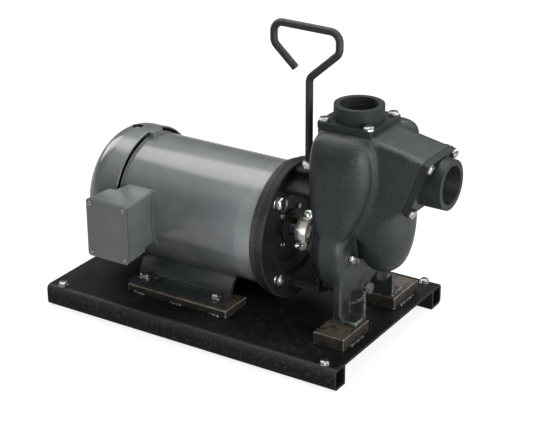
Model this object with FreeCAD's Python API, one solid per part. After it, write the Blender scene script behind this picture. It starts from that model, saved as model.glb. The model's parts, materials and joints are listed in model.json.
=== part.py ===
import FreeCAD, Part
import math
import os

# Close-coupled self-priming centrifugal pump on a steel skid, millimetres, +Z up.
# The origin is the centre of the skid's underside. Everything that belongs to the shaft is
# drawn about the shaft line, with x = 0 on the motor's mounting face and +x towards the
# suction port, and then set down on the skid.

V = FreeCAD.Vector

# Skid: one sheet, its long edges bent down and round into closed rails
skid_length = 550.0
skid_width = 350.0
skid_height = 36.0
skid_wall = 4.5
rail_width = 32.0
rail_corner_r = 8.0
face_from_centre = 98.0
corner_inset_x = 25.0
corner_inset_y = 12.6
corner_hole_d = 8.8
corner_screw_length = 24.0
anchor_hole_d = 11.0

# Bars under the motor's feet, and blocks under the pump's feet
shim_length = 192.0
shim_end_x = -54.0
shim_width = 61.0
shim_inner_y = 60.0
shim_thickness = 12.7
block_x = 105.0
block_length = 53.0
block_width = 80.0
block_thickness = 20.0
block_overhang = 5.0
weld_leg = 5.0

# Motor frame: 114.3 shaft height, 190.5 by 139.7 foot holes, 215.9 face spigot
shaft_height = 114.3
foot_gauge = 190.5
foot_span = 139.7
foot_span_short = 114.3
face_to_foot = 88.9
foot_hole_d = 10.6
foot_sheet = 5.6
foot_edge_y = 114.3
foot_end_margin = 19.0
shell_r = 101.5
shell_wall = 4.0
shell_drive_x = -16.5
shell_fan_x = -272.0
band_thickness = 1.4
band_length = 39.5
band_half_angle = 43.0
spigot_r = 107.95
spigot_depth = 6.35
bell_rim_r = spigot_r + 1.25
bolt_circle = 184.15
face_bolt_d = 12.7
face_recess = 9.0
face_recess_r = 60.0
hub_r = 46.0
cap_screw_circle = 71.0
cap_screw_d = 5.0

# Rotor and shaft
shaft_r = 14.2875
shaft_extension = 66.7
bearing_bore_drive = 30.0
bearing_outer_d_drive = 62.0
bearing_width_drive = 16.0
bearing_drive_x = -22.0
bearing_bore_fan = 25.0
bearing_outer_d_fan = 52.0
bearing_width_fan = 15.0
bearing_fan_x = -250.0
race_wall = 4.2
race_gap = 0.3
rotor_r = 59.4
air_gap = 0.5
core_length = 110.0
core_mid_x = -150.0
rotor_shaft_r = 19.0
winding_overhang = 28.0
winding_r_in = rotor_r + 6.6
winding_r_out = shell_r - shell_wall - 5.5
end_ring_width = 8.0
end_ring_depth = 18.0
slinger_r = 27.0
slinger_width = 5.0
key_side = 6.35
key_length = 40.0

# Fan and its cover
cover_r = shell_r + 9.1
fan_hub_r = 20.0
fan_disc_r = 0.778 * cover_r
fan_disc_x = -296.0
fan_disc_t = 3.0
fan_blade_depth = 22.0
fan_blade_t = 2.6
fan_blades = 7
fan_side_gap = 7.0
cover_lip_x = -276.0
cover_straight = 26.0
cover_end_x = -351.0
cover_end_r = 0.56 * cover_r
cover_wall = 2.0
grille_r = 0.615 * cover_r
grille_hub_r = 12.0
grille_slot_width = 4.0
grille_rings = 4
cover_tab_width = 26.0
cover_tab_reach = 12.0
cover_screw_angles = (0.0, 120.0, 240.0)
cover_screw_d = 5.0
cover_screw_x = -305.0
cover_cup_r = 9.0
cover_cup_depth = 5.5
fan_ear_width = 20.0
fan_ear_r_in = fan_disc_r + 4.0

# Conduit box
box_mid_x = -235.75
box_cover_width = 79.0
box_height = 98.5
box_mid_z = 4.2
box_taper = 0.161
box_droop = 0.06
box_tub_depth = 54.0
box_step_side = 12.0
box_step_low = 7.5
box_lip = 5.5
box_lip_t = 2.4
box_face_y = 178.0
box_wall = 2.2
box_corner_r = 5.0
box_flange = 6.0
box_cover_t = 2.0
box_gasket_t = 1.2
box_screw_inset = 7.5
box_screw_d = 4.2
lead_hole_r = 17.0
conduit_hole_d = 22.2

# Adapter bracket
bracket_face_r = 114.3
bracket_face_t = 10.0
bracket_spot_depth = 2.4
bracket_spot_r = 14.5
bracket_barrel_r = 92.0
bracket_barrel_wall = 11.0
bracket_window_r = bracket_barrel_r - 16.0
bracket_arm_half = 28.0
joint_x = 68.0
joint_flange_t = 8.0
joint_flange_r = 60.0
joint_bore_r = 32.0
plate_bolt_circle = 101.0
plate_bolts = 8
plate_bolt_d = 7.9
casing_bolt_r = bracket_barrel_r - 19.0
casing_bolt_spread = 18.0
casing_bolt_d = 9.5
boss_x = 25.5
boss_top_z = 106.0
boss_length = 34.0
boss_width = 30.0
spigot_clearance = 0.05
face_hole_clearance = 0.4

# Lifting handle: one bent rod screwed into the bracket's boss
rod_d = 12.0
rod_thread_depth = 18.0
nut_height = 12.3
nut_flats = 19.05
handle_points = (
    (0.0, 147.5),
    (52.0, 194.0),
    (52.0, 226.5),
    (-63.5, 228.0),
    (-63.5, 194.5),
    (-24.5, 159.5),
)
handle_bend_r = 16.0

# Pump shaft and coupling clamp
stub_r = 18.5
stub_start_x = 13.0
stub_end_x = 74.0
pump_shaft_r = 12.7
clamp_x = 25.0
clamp_width = 19.0
clamp_wall = 7.5
clamp_bolt_reach = 23.8
clamp_ear_end = 8.5
clamp_ear_t = 11.5
clamp_gap = 5.0
clamp_bolt_d = 8.0
clamp_bolt_tail = 31.0
clamp_lean = 20.0
clamp_fit = 0.02

# Back plate and mechanical seal
back_plate_t = 9.0
back_plate_r = 56.4
back_hub_r = 30.0
back_hub_depth = 16.0
back_counterbore_r = 20.5
back_counterbore_depth = 7.5
seal_bore_r = 13.4
seat_r = 21.0
seat_t = 6.0
seal_head_r = 18.5
seal_head_t = 4.0

# Impeller
impeller_r = 55.0
impeller_x = 98.0
impeller_disc_t = 3.5
impeller_hub_r = 19.0
vane_height = 10.0
vane_t = 4.0
vane_count = 5
vane_wrap = 72.0
impeller_front_gap = 0.5
impeller_screw_d = 9.5
eye_r = 26.0
wear_plate_t = 4.0

# Pump casing
casing_wall = 9.0
casing_mouth_r = 56.5
casing_back_r = 62.0
casing_step_r = bracket_barrel_r + 2.0
casing_crown_y = 51.0
casing_crown_z = 186.0
volute_r = 84.0
volute_flare = ((76.0, 65.5), (86.0, 76.0))
volute_back_x = 98.0
volute_front_x = 129.0
volute_round = 16.0
volute_cavity_r = 71.0
volute_cavity_x = 89.0
port_r = 38.9
port_bore_r = 29.6
port_throat_r = 28.4
port_thread_depth = 24.0
port_flange = 95.0
port_flange_t = 8.0
port_gasket_t = 1.5
port_bolt_pitch = 76.0
port_bolt_d = 9.5
discharge_x = 113.0
discharge_top_z = 229.3
discharge_flange_z = 206.0
discharge_neck = 88.0
suction_end_x = 270.7
suction_z = 130.9
suction_tilt = 20.0
suction_mid_x = 238.7
suction_mid_z = 127.2
suction_bolt_rise = 80.0
neck_half_width = 46.0
neck_top_start = (158.5, 193.0)
neck_top_end = (243.0, 176.6)
neck_floor_z = 50.0
neck_round = 10.0
chin_x = 161.4
chin_r = 49.0
chin_top_z = 75.0
chin_bottom_z = -34.0
chin_squareness = 2.5
partition_x = 142.0
# Priming chamber in plan: height, centre x, half length, half width
lobe_sections = (
    (194.0, 126.0, 44.0, 64.0),
    (192.0, 126.0, 51.0, 71.0),
    (185.0, 126.0, 57.5, 77.5),
    (170.0, 125.3, 61.5, 82.0),
    (150.0, 124.6, 63.0, 84.0),
    (120.0, 124.6, 63.0, 84.0),
    (100.0, 123.0, 61.0, 83.0),
    (84.0, 118.5, 56.0, 81.5),
    (60.0, 112.5, 46.0, 78.5),
    (35.0, 107.5, 34.0, 75.0),
    (8.0, 103.5, 24.0, 71.5),
    (-20.0, 107.3, 15.3, 69.0),
    (-45.0, 115.5, 8.5, 67.0),
)
# Far and near side of that plan, from the front to the back, in shares of half length and half width
lobe_far = (
    (0.50, 0.0), (0.58, 0.45), (0.77, 0.68), (0.90, 0.82), (0.74, 0.955), (0.30, 1.0), (-0.25, 1.0),
    (-0.76, 0.94), (-0.95, 0.76), (-1.0, 0.40), (-1.0, 0.0),
)
lobe_near = (
    (0.48, 0.45), (0.64, 0.68), (0.77, 0.82), (0.66, 0.945), (0.28, 1.0), (-0.25, 1.0),
    (-0.76, 0.94), (-0.95, 0.76), (-1.0, 0.40),
)
prime_plug_y = -52.0
prime_plug_z = -2.0
drain_plug_z = -73.0
plug_d = 13.0
plug_boss_r = 11.0

# Pump feet
foot_shift_y = 5.0
foot_inner_y = 43.0
foot_outer_y = 77.0
foot_x = 112.0
foot_length = 42.0
foot_plate_t = 7.0
foot_web_t = 15.0
foot_gusset_t = 7.0

# Suction check valve
flap_r = 31.0
flap_t = 5.0
flap_weight_r = 18.0
flap_weight_t = 7.0
flap_pin_d = 6.0
flap_pin_u = 35.5
flap_pin_depth = 5.5
flap_arm_half = 12.0
flap_pocket_half = 17.0
flap_clearance = 0.4

# Fits
running_clearance = 0.05
seat_gap = 0.3

shaft_z = skid_height + shim_thickness + shaft_height
skid_top = -shaft_height - shim_thickness


def on_skid(shape):
    shape.translate(V(face_from_centre, 0, shaft_z))
    return shape


def block(x0, x1, y0, y1, z0, z1):
    return Part.makeBox(x1 - x0, y1 - y0, z1 - z0, V(x0, y0, z0))


def rod(r, start, end):
    way = end.sub(start)
    return Part.makeCylinder(r, way.Length, start, way)


def disc(r, x0, x1, y=0.0, z=0.0):
    return Part.makeCylinder(r, x1 - x0, V(x0, y, z), V(1, 0, 0))


def ring(r_out, r_in, x0, x1):
    return disc(r_out, x0, x1).cut(disc(r_in, x0 - 1, x1 + 1))


def turned(points):
    """Solid turned about the shaft line from (x, r) corners."""
    corners = [V(x, 0, r) for x, r in points]
    profile = Part.makePolygon(corners + corners[:1])
    return Part.Face(profile).revolve(V(0, 0, 0), V(1, 0, 0), 360)


def plate_xz(points, y0, y1):
    """Plate between two y planes, from (x, z) corners."""
    corners = [V(x, y0, z) for x, z in points]
    return Part.Face(Part.makePolygon(corners + corners[:1])).extrude(V(0, y1 - y0, 0))


def plate_yz(points, x0, x1):
    corners = [V(x0, y, z) for y, z in points]
    return Part.Face(Part.makePolygon(corners + corners[:1])).extrude(V(x1 - x0, 0, 0))


def rounded(shape, radius, chosen):
    """Fillets the edges for which chosen(middle, direction) is true."""
    edges = []
    for edge in shape.Edges:
        ends = edge.Vertexes
        way = ends[-1].Point.sub(ends[0].Point)
        if way.Length > 0.01 and chosen(edge.CenterOfMass, way.normalize()):
            edges.append(edge)
    return shape.makeFillet(radius, edges)


def mirrored(shape):
    return shape.mirror(V(0, 0, 0), V(0, 1, 0))


def aimed(shape, seat, direction):
    """Turns a piece drawn along +Z to point along direction, with its origin at seat."""
    turn = FreeCAD.Rotation(V(0, 0, 1), direction)
    shape.Placement = FreeCAD.Placement(seat, turn)
    return shape


def hexagon(flats, height):
    r = flats / math.sqrt(3)
    corners = [V(r * math.cos(a), r * math.sin(a), 0) for a in (math.radians(60 * k) for k in range(7))]
    return Part.Face(Part.makePolygon(corners)).extrude(V(0, 0, height))


def washer(d, outer_r, thickness, seat, direction):
    body = Part.makeCylinder(outer_r, thickness)
    return aimed(body.cut(Part.makeCylinder(d / 2 + 0.3, thickness)), seat, direction)


def bolt(d, length, seat, direction, washers=()):
    """Hex bolt with its washers, as separate solids; seat is under the lowest washer."""
    made = []
    lift = 0.0
    for outer_r, thickness in washers:
        made.append(washer(d, outer_r, thickness, seat + direction * lift, direction))
        lift += thickness
    head = hexagon(1.5 * d, 0.65 * d).fuse(Part.makeCylinder(d / 2, length + lift, V(0, 0, -length - lift)))
    made.append(aimed(head.removeSplitter(), seat + direction * lift, direction))
    return made


def nut(d, flats, height, seat, direction):
    body = hexagon(flats, height).cut(Part.makeCylinder(d / 2 + running_clearance, height))
    return aimed(body, seat, direction)


def hole(d, length, seat, direction):
    """Drill for a bolt whose seat is given: from just above the seat downwards."""
    return aimed(Part.makeCylinder(d / 2, length + 1, V(0, 0, -length)), seat, direction)


def around(count, radius, first, x):
    angles = [math.radians(first + 360.0 * k / count) for k in range(count)]
    return [V(x, radius * math.cos(a), radius * math.sin(a)) for a in angles]


def cut_all(shape, tools):
    return shape.cut(Part.makeCompound(tools))


def save(name, solids, shaft_frame=True):
    """Writes one sub-part; several solids are a group of like pieces."""
    if not isinstance(solids, list):
        solids = [solids]
    clean = [s for piece in solids for s in piece.Solids]
    shape = clean[0] if len(clean) == 1 else Part.makeCompound(clean)
    if shaft_frame:
        shape = on_skid(shape)
    shape.exportStep("parts/" + name + ".step")
    print(name, len(clean), "solids", round(shape.Volume / 1000, 1), "cm3", shape.isValid())


# Skid

def corner_spots():
    x = skid_length / 2 - corner_inset_x
    y = skid_width / 2 - corner_inset_y
    return [V(sx * x, sy * y, skid_height) for sx in (-1, 1) for sy in (-1, 1)]


def make_skid():
    half = skid_length / 2
    side = skid_width / 2
    body = block(-half, half, -side, side, skid_height - skid_wall, skid_height)
    for sign in (-1, 1):
        outer = sorted((sign * side, sign * (side - rail_width)))
        inner = sorted((sign * (side - skid_wall), sign * (side - rail_width + skid_wall)))
        body = body.fuse(block(-half, half, outer[0], outer[1], 0, skid_height))
        body = body.cut(block(-half, half, inner[0], inner[1], skid_wall, skid_height - skid_wall))
    body = body.removeSplitter()

    def outer_edge(middle, way):
        on_side = abs(abs(middle.y) - side) < 0.01 and abs(way.x) > 0.99
        return on_side and (middle.z < 0.01 or middle.z > skid_height - 0.01)

    body = rounded(body, rail_corner_r, outer_edge)
    drills = []
    for spot in corner_spots():
        drills.append(Part.makeCylinder(corner_hole_d / 2, skid_wall + 2, spot - V(0, 0, skid_wall + 1)))
        drills.append(Part.makeCylinder(anchor_hole_d / 2, skid_wall + 2, V(spot.x, spot.y, -1)))
    return cut_all(body, drills)


def make_corner_screws():
    made = []
    d = corner_hole_d - 0.8
    for spot in corner_spots():
        made += bolt(d, corner_screw_length, spot, V(0, 0, 1), [(d * 1.05, 1.5)])
        made.append(nut(d, 1.55 * d, 0.8 * d, spot - V(0, 0, skid_wall), V(0, 0, -1)))
    return made


# Bars, blocks and their welds

def shim_span():
    return shim_end_x - shim_length, shim_end_x


def shim_sides():
    return [(shim_inner_y, shim_inner_y + shim_width), (-shim_inner_y - shim_width, -shim_inner_y)]


def foot_spots():
    xs = (-face_to_foot, -face_to_foot - foot_span)
    top = -shaft_height + foot_sheet
    return [V(x, s * foot_gauge / 2, top) for x in xs for s in (-1, 1)]


def make_shims():
    x0, x1 = shim_span()
    bars = []
    taps = [Part.makeCylinder(foot_bolt_d() / 2, shim_thickness + 2, V(p.x, p.y, skid_top - 1)) for p in foot_spots()]
    for y0, y1 in shim_sides():
        bars.append(cut_all(block(x0, x1, y0, y1, skid_top, skid_top + shim_thickness), taps))
    return bars


def foot_bolt_d():
    return foot_hole_d - 1.1


def block_sides():
    near = foot_inner_y - 1.0
    return [(foot_shift_y + near, foot_shift_y + near + block_width),
            (foot_shift_y - near - block_width, foot_shift_y - near)]


def make_blocks():
    made = []
    for y0, y1 in block_sides():
        made.append(block(block_x, block_x + block_length, y0, y1, skid_top, skid_top + block_thickness))
    return made


def bead(start, end, side):
    """Fillet weld: a quarter-round bead along start to end, bulging towards side."""
    way = end.sub(start)
    up = V(0, 0, weld_leg)
    out = side * weld_leg
    middle = start + (up + out) * 0.62
    top = Part.Arc(start + up, middle, start + out).toShape()
    wire = Part.Wire([Part.makeLine(start, start + up), top, Part.makeLine(start + out, start)])
    return Part.Face(wire).extrude(way)


def make_welds():
    beads = []
    x0, x1 = shim_span()
    for sign in (-1, 1):
        y = sign * (shim_inner_y + shim_width)
        out = V(0, sign, 0)
        for share in (0.06, 0.44, 0.82):
            a = x0 + share * shim_length
            beads.append(bead(V(a, y, skid_top), V(a + 0.12 * shim_length, y, skid_top), out))
    for y0, y1 in block_sides():
        for x, out in ((block_x, V(-1, 0, 0)), (block_x + block_length, V(1, 0, 0))):
            beads.append(bead(V(x, y0 + 0.2 * block_width, skid_top), V(x, y0 + 0.75 * block_width, skid_top), out))
    return beads


# Motor

def make_motor_feet():
    t = foot_sheet
    bottom = -shaft_height
    r = shell_r
    outer = [(foot_edge_y, bottom), (foot_edge_y, bottom + t), (92.0, bottom + t), (85.5, -105.5), (82.0, -99.0),
             (0.759 * r, -0.887 * r), (0.621 * r, -0.749 * r)]
    inner = [(0.562 * r, -0.769 * r), (0.7 * r, -0.916 * r), (75.5, -102.0), (80.0, bottom + 2.5), (84.0, bottom)]
    x1 = -face_to_foot + foot_end_margin
    x0 = x1 - foot_span - 2 * foot_end_margin
    foot = plate_yz(outer + inner, x0, x1)
    drills = [disc(shell_r, x0 - 1, x1 + 1)]
    xs = (-face_to_foot, -face_to_foot - foot_span, -face_to_foot - foot_span_short)
    for x in xs:
        drills.append(Part.makeCylinder(foot_hole_d / 2, t + 4, V(x, foot_gauge / 2, bottom - 2)))
        drills.append(Part.makeCylinder(foot_bolt_d() * 1.05 + 0.4, 9, V(x, foot_gauge / 2, bottom + t)))
    foot = cut_all(foot, drills)
    foot = max(foot.Solids, key=lambda s: s.Volume)
    return [foot, mirrored(foot)]


def make_foot_bolts():
    made = []
    for spot in foot_spots():
        made += bolt(foot_bolt_d(), foot_sheet + shim_thickness - 1.5, spot, V(0, 0, 1), [(foot_bolt_d() * 1.05, 2.0)])
    return made


def make_shell():
    body = ring(shell_r, shell_r - shell_wall, shell_fan_x, shell_drive_x)
    band = ring(shell_r + band_thickness, shell_r - shell_wall / 2, shell_drive_x - band_length, shell_drive_x)
    for side in (-1, 1):
        reach = 2 * shell_r
        slope = math.tan(math.radians(band_half_angle)) * reach
        wedge = plate_yz([(0, 0), (side * reach, slope), (side * reach, -slope)],
                         shell_drive_x - band_length, shell_drive_x)
        body = body.fuse(band.common(wedge))
    lead_hole = rod(lead_hole_r, V(box_mid_x, -shell_r - 10, 0), V(box_mid_x, -shell_r + 20, 0))
    return body.cut(lead_hole).removeSplitter()


def face_bolt_spots(x):
    return around(4, bolt_circle / 2, 45, x)


def bell_seat():
    return shell_r - shell_wall - running_clearance


def make_drive_bell():
    inside = bell_seat()
    r_bearing = bearing_outer_d_drive / 2 + 0.01
    back = bearing_drive_x - bearing_width_drive / 2
    front = back + bearing_width_drive
    body = turned([
        (0, face_recess_r + 14), (0, spigot_r), (-spigot_depth, spigot_r), (-spigot_depth, bell_rim_r),
        (shell_drive_x, bell_rim_r), (shell_drive_x, inside), (shell_drive_x - 14, inside),
        (shell_drive_x - 14, inside - 8), (shell_drive_x, inside - 8), (-17.5, hub_r + 8), (back, hub_r - 5),
        (back, r_bearing), (front, r_bearing), (front, 22), (-face_recess, 22), (-face_recess, face_recess_r),
    ])
    drills = [disc(face_bolt_d / 2, -12.5, 1, p.y, p.z) for p in face_bolt_spots(0)]
    pads = [disc(10.5, shell_drive_x + 0.3, -1, p.y, p.z) for p in face_bolt_spots(0)]
    body = body.fuse(pads).cut(ring(bell_rim_r + 40, bell_rim_r, -40, 10))
    drills += [disc(cap_screw_d / 2, -40, 1, p.y, p.z) for p in cap_screw_spots(0)]
    return cut_all(body, drills).removeSplitter()


def cap_screw_spots(x):
    return around(4, cap_screw_circle / 2, 45, x)


def make_bearing_cap():
    back = bearing_drive_x - bearing_width_drive / 2
    cap = ring(hub_r - 6, rotor_shaft_r + 2, back - 6, back)
    return cut_all(cap, [disc(cap_screw_d / 2, back - 8, back + 2, p.y, p.z) for p in cap_screw_spots(0)])


def make_cap_screws():
    back = bearing_drive_x - bearing_width_drive / 2
    length = -face_recess - back + 5
    made = []
    for spot in cap_screw_spots(-face_recess):
        screw = hexagon(8.0, 3.6).fuse(Part.makeCylinder(cap_screw_d / 2 - 0.1, length, V(0, 0, -length)))
        made.append(aimed(screw.removeSplitter(), spot, V(1, 0, 0)))
    return made


def make_fan_bell():
    inside = bell_seat()
    r_bearing = bearing_outer_d_fan / 2 + 0.01
    front = bearing_fan_x + bearing_width_fan / 2
    back = front - bearing_width_fan - 1.2
    body = turned([
        (shell_fan_x + 14, inside), (shell_fan_x, inside), (shell_fan_x, shell_r + 1.0),
        (shell_fan_x - 3, shell_r + 1.0), (shell_fan_x - 3, 40), (back - 4, 34), (back - 4, 16),
        (back, 16), (back, r_bearing), (front, r_bearing), (front, 34), (shell_fan_x + 10, 44), (shell_fan_x + 8, inside - 8),
        (shell_fan_x + 14, inside - 8),
    ])
    top = cover_r - cover_cup_depth - cover_wall - running_clearance
    for angle in cover_screw_angles:
        ear = block(cover_screw_x - 8, shell_fan_x - 0.5, -fan_ear_width / 2, fan_ear_width / 2, fan_ear_r_in, top)
        ear.rotate(V(0, 0, 0), V(1, 0, 0), angle)
        drill = Part.makeCylinder(cover_screw_d / 2 - 0.2, 20, V(cover_screw_x, 0, top - 9))
        drill.rotate(V(0, 0, 0), V(1, 0, 0), angle)
        body = body.fuse(ear).cut(drill)
    return body.removeSplitter()


def make_stator_core():
    return ring(shell_r - shell_wall - 0.02, rotor_r + air_gap,
                core_mid_x - core_length / 2, core_mid_x + core_length / 2)


def make_windings():
    made = []
    for side in (-1, 1):
        a = core_mid_x + side * core_length / 2
        b = a + side * winding_overhang
        bevel = side * 7.0
        made.append(turned([(a, winding_r_in), (a, winding_r_out), (b - bevel, winding_r_out),
                            (b, winding_r_out - 7), (b, winding_r_in + 7), (b - bevel, winding_r_in)]))
    return made


def make_rotor_core():
    a = core_mid_x - core_length / 2
    b = core_mid_x + core_length / 2
    r_end = rotor_r - 3
    r_low = rotor_r - end_ring_depth
    return turned([
        (a, rotor_shaft_r), (a, r_low), (a - end_ring_width, r_low), (a - end_ring_width, r_end), (a, r_end),
        (a, rotor_r), (b, rotor_r), (b, r_end), (b + end_ring_width, r_end), (b + end_ring_width, r_low),
        (b, r_low), (b, rotor_shaft_r),
    ])


def make_motor_shaft():
    d_back = bearing_drive_x - bearing_width_drive / 2
    d_front = bearing_drive_x + bearing_width_drive / 2
    f_back = bearing_fan_x - bearing_width_fan / 2
    f_front = bearing_fan_x + bearing_width_fan / 2
    end = fan_disc_x - fan_hub_length() + fan_disc_t
    body = turned([
        (end, 0), (end, bearing_bore_fan / 2 - 1.5), (f_back, bearing_bore_fan / 2 - 1.5),
        (f_back, bearing_bore_fan / 2), (f_front, bearing_bore_fan / 2), (f_front, rotor_shaft_r),
        (d_back, rotor_shaft_r), (d_back, bearing_bore_drive / 2), (d_front, bearing_bore_drive / 2),
        (d_front, shaft_r), (shaft_extension, shaft_r), (shaft_extension, 0),
    ])
    return body.cut(key_space())


def key_space():
    x1 = shaft_extension - 1.0
    return block(x1 - key_length, x1, -key_side / 2, key_side / 2, shaft_r - key_side / 2, shaft_r + key_side / 2)


def make_key():
    return key_space()


def bearing_rings(kind):
    made = []
    for x, bore, od, width in (
        (bearing_drive_x, bearing_bore_drive, bearing_outer_d_drive, bearing_width_drive),
        (bearing_fan_x, bearing_bore_fan, bearing_outer_d_fan, bearing_width_fan),
    ):
        half = width / 2
        out_in = od / 2 - race_wall
        in_out = bore / 2 + race_wall
        if kind == "outer":
            made.append(ring(od / 2, out_in, x - half, x + half))
        elif kind == "inner":
            made.append(ring(in_out, bore / 2, x - half, x + half))
        else:
            made.append(ring(out_in - race_gap, in_out + race_gap, x - half + 2.5, x + half - 2.5))
    return made


def make_bearing_spring():
    x1 = bearing_fan_x - bearing_width_fan / 2
    return ring(bearing_outer_d_fan / 2 - 0.5, bearing_outer_d_fan / 2 - 5, x1 - 1.2, x1)


def make_slinger():
    x1 = -face_recess + 1.2 + slinger_width
    return turned([(x1 - slinger_width, shaft_r), (x1 - slinger_width, slinger_r), (x1 - slinger_width + 2, slinger_r),
                   (x1 - 1.5, shaft_r + 6), (x1, shaft_r + 6), (x1, shaft_r)])


# Fan and its cover

def fan_hub_length():
    return fan_blade_depth + 4


def make_fan():
    x0 = fan_disc_x
    end = x0 - fan_hub_length() + fan_disc_t
    hub = disc(fan_hub_r, end, x0 + fan_disc_t)
    plate = disc(fan_disc_r, x0, x0 + fan_disc_t)
    body = hub.fuse(plate)
    for k in range(fan_blades):
        blade = block(x0 - fan_blade_depth, x0 + 0.5, -fan_blade_t / 2, fan_blade_t / 2, fan_hub_r - 2, fan_disc_r - 1)
        blade.rotate(V(0, 0, 0), V(1, 0, 0), 360.0 * k / fan_blades)
        body = body.fuse(blade)
    return body.cut(disc(bearing_bore_fan / 2 - 1.5, end - 1, x0 + fan_disc_t + 1)).removeSplitter()


def cover_profile(shrink):
    """Half section of the fan cover, drawn in by shrink: straight wall, round shoulder, flat end."""
    r = cover_r - shrink
    end_x = cover_end_x + shrink
    turn_x = cover_lip_x - cover_straight
    low_r = cover_end_r
    mid = V(end_x + 0.2929 * (turn_x - end_x), 0, r - 0.2929 * (r - low_r))
    lip = cover_lip_x + (1 if shrink else 0)
    edges = [
        Part.makeLine(V(lip, 0, 0), V(lip, 0, r)),
        Part.makeLine(V(lip, 0, r), V(turn_x, 0, r)),
        Part.Arc(V(turn_x, 0, r), mid, V(end_x, 0, low_r)).toShape(),
        Part.makeLine(V(end_x, 0, low_r), V(end_x, 0, 0)),
        Part.makeLine(V(end_x, 0, 0), V(lip, 0, 0)),
    ]
    return Part.Face(Part.Wire(edges)).revolve(V(0, 0, 0), V(1, 0, 0), 360)


def grille_slots():
    """Ring slots broken by four spokes, through the cover's end wall."""
    pitch = (grille_r - grille_hub_r) / grille_rings
    slots = None
    for k in range(grille_rings):
        outer = grille_r - k * pitch
        band = ring(outer, outer - pitch + grille_slot_width, cover_end_x - 2, cover_end_x + 14)
        slots = band if slots is None else slots.fuse(band)
    spokes = [block(cover_end_x - 3, cover_end_x + 15, -3, 3, -grille_r - 1, grille_r + 1),
              block(cover_end_x - 3, cover_end_x + 15, -grille_r - 1, grille_r + 1, -3, 3)]
    return slots.cut(Part.makeCompound(spokes))


def make_fan_cover():
    body = cover_profile(0).cut(cover_profile(cover_wall))
    body = body.cut(grille_slots())
    for angle in cover_screw_angles:
        half = cover_tab_width / 2
        tip = cover_lip_x + cover_tab_reach
        tab = block(cover_lip_x - 2, tip, -half, half, shell_r - 1, cover_r + 5)
        tab = tab.common(ring(cover_r, cover_r - cover_wall, cover_lip_x - 2, tip))
        lug = block(cover_lip_x + 4.3, tip, -half, half, shell_r - 1, cover_r - 0.5)
        lug = lug.common(ring(cover_r, shell_r + 0.02, cover_lip_x, tip))
        floor = cover_r - cover_cup_depth - cover_wall
        well = Part.makeCylinder(cover_cup_r, cover_cup_depth + 5, V(cover_screw_x, 0, cover_r - cover_cup_depth))
        cup = Part.makeCylinder(cover_cup_r + cover_wall, cover_r - 0.3 - floor, V(cover_screw_x, 0, floor))
        cup = cup.cut(well).common(disc(cover_r, cover_screw_x - 40, cover_lip_x + 20))
        drill = Part.makeCylinder(cover_screw_d / 2, 20, V(cover_screw_x, 0, floor - 5))
        for piece in (tab, lug, well, cup, drill):
            piece.rotate(V(0, 0, 0), V(1, 0, 0), angle)
        body = body.fuse([tab, lug]).cut(well).fuse(cup).cut(drill)
    return body.removeSplitter()


def make_cover_screws():
    made = []
    for angle in cover_screw_angles:
        r = cover_screw_d / 2 - 0.2
        seat = V(cover_screw_x, 0, cover_r - cover_cup_depth)
        screw = hexagon(8.0, 3.0).fuse(Part.makeCylinder(r, 9, V(0, 0, -9)))
        screw = aimed(screw.removeSplitter(), seat, V(0, 0, 1))
        screw.rotate(V(0, 0, 0), V(1, 0, 0), angle)
        made.append(screw)
    return made


# Conduit box

def box_sides(y, shrink=0.0, step_side=0.0, step_low=0.0):
    """Fan side, drive side, bottom and top of the box at one depth: it closes in and droops to the shell."""
    depth = y + box_face_y
    middle = box_mid_z - box_droop * depth
    return (box_mid_x - box_cover_width / 2 + step_side + shrink,
            box_mid_x + box_cover_width / 2 - box_taper * depth - shrink,
            middle - box_height / 2 + step_low + shrink,
            middle + box_height / 2 - shrink)


def box_body(y_back, y_front, *trim):
    """Tapering box between two depths."""
    sections = []
    for y in (y_back, y_front):
        x0, x1, low, high = box_sides(y, *trim)
        points = [V(x0, y, low), V(x1, y, low), V(x1, y, high), V(x0, y, high)]
        sections.append(Part.makePolygon(points + points[:1]))
    return Part.makeLoft(sections, True, True)


def box_screw_spots(y):
    dx = box_cover_width / 2 - box_screw_inset
    dz = box_height / 2 - box_screw_inset
    return [V(box_mid_x + sx * dx, y, box_mid_z + sz * dz) for sx in (-1, 1) for sz in (-1, 1)]


def box_lip_ring(back):
    """Curved lip that lies on the shell round the foot of the box."""
    x0, x1, low, high = box_sides(back, 0.0, box_step_side, box_step_low)
    lip = ring(shell_r + box_lip_t, shell_r + 0.02, x0, x1 + box_lip)
    outline = block(x0, x1 + box_lip, -shell_r - 10, 0, low - box_lip, high)
    return lip.common(rounded(outline, box_lip, lambda m, way: abs(way.y) > 0.99))


def conduit_hole():
    """Hole square to the fan-side wall, half-way down the tub."""
    y = -box_face_y + box_tub_depth / 2
    x0, x1, low, high = box_sides(y)
    return disc(conduit_hole_d / 2, x0 - 5, x0 + box_wall + 5, y, (low + high) / 2)


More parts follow.
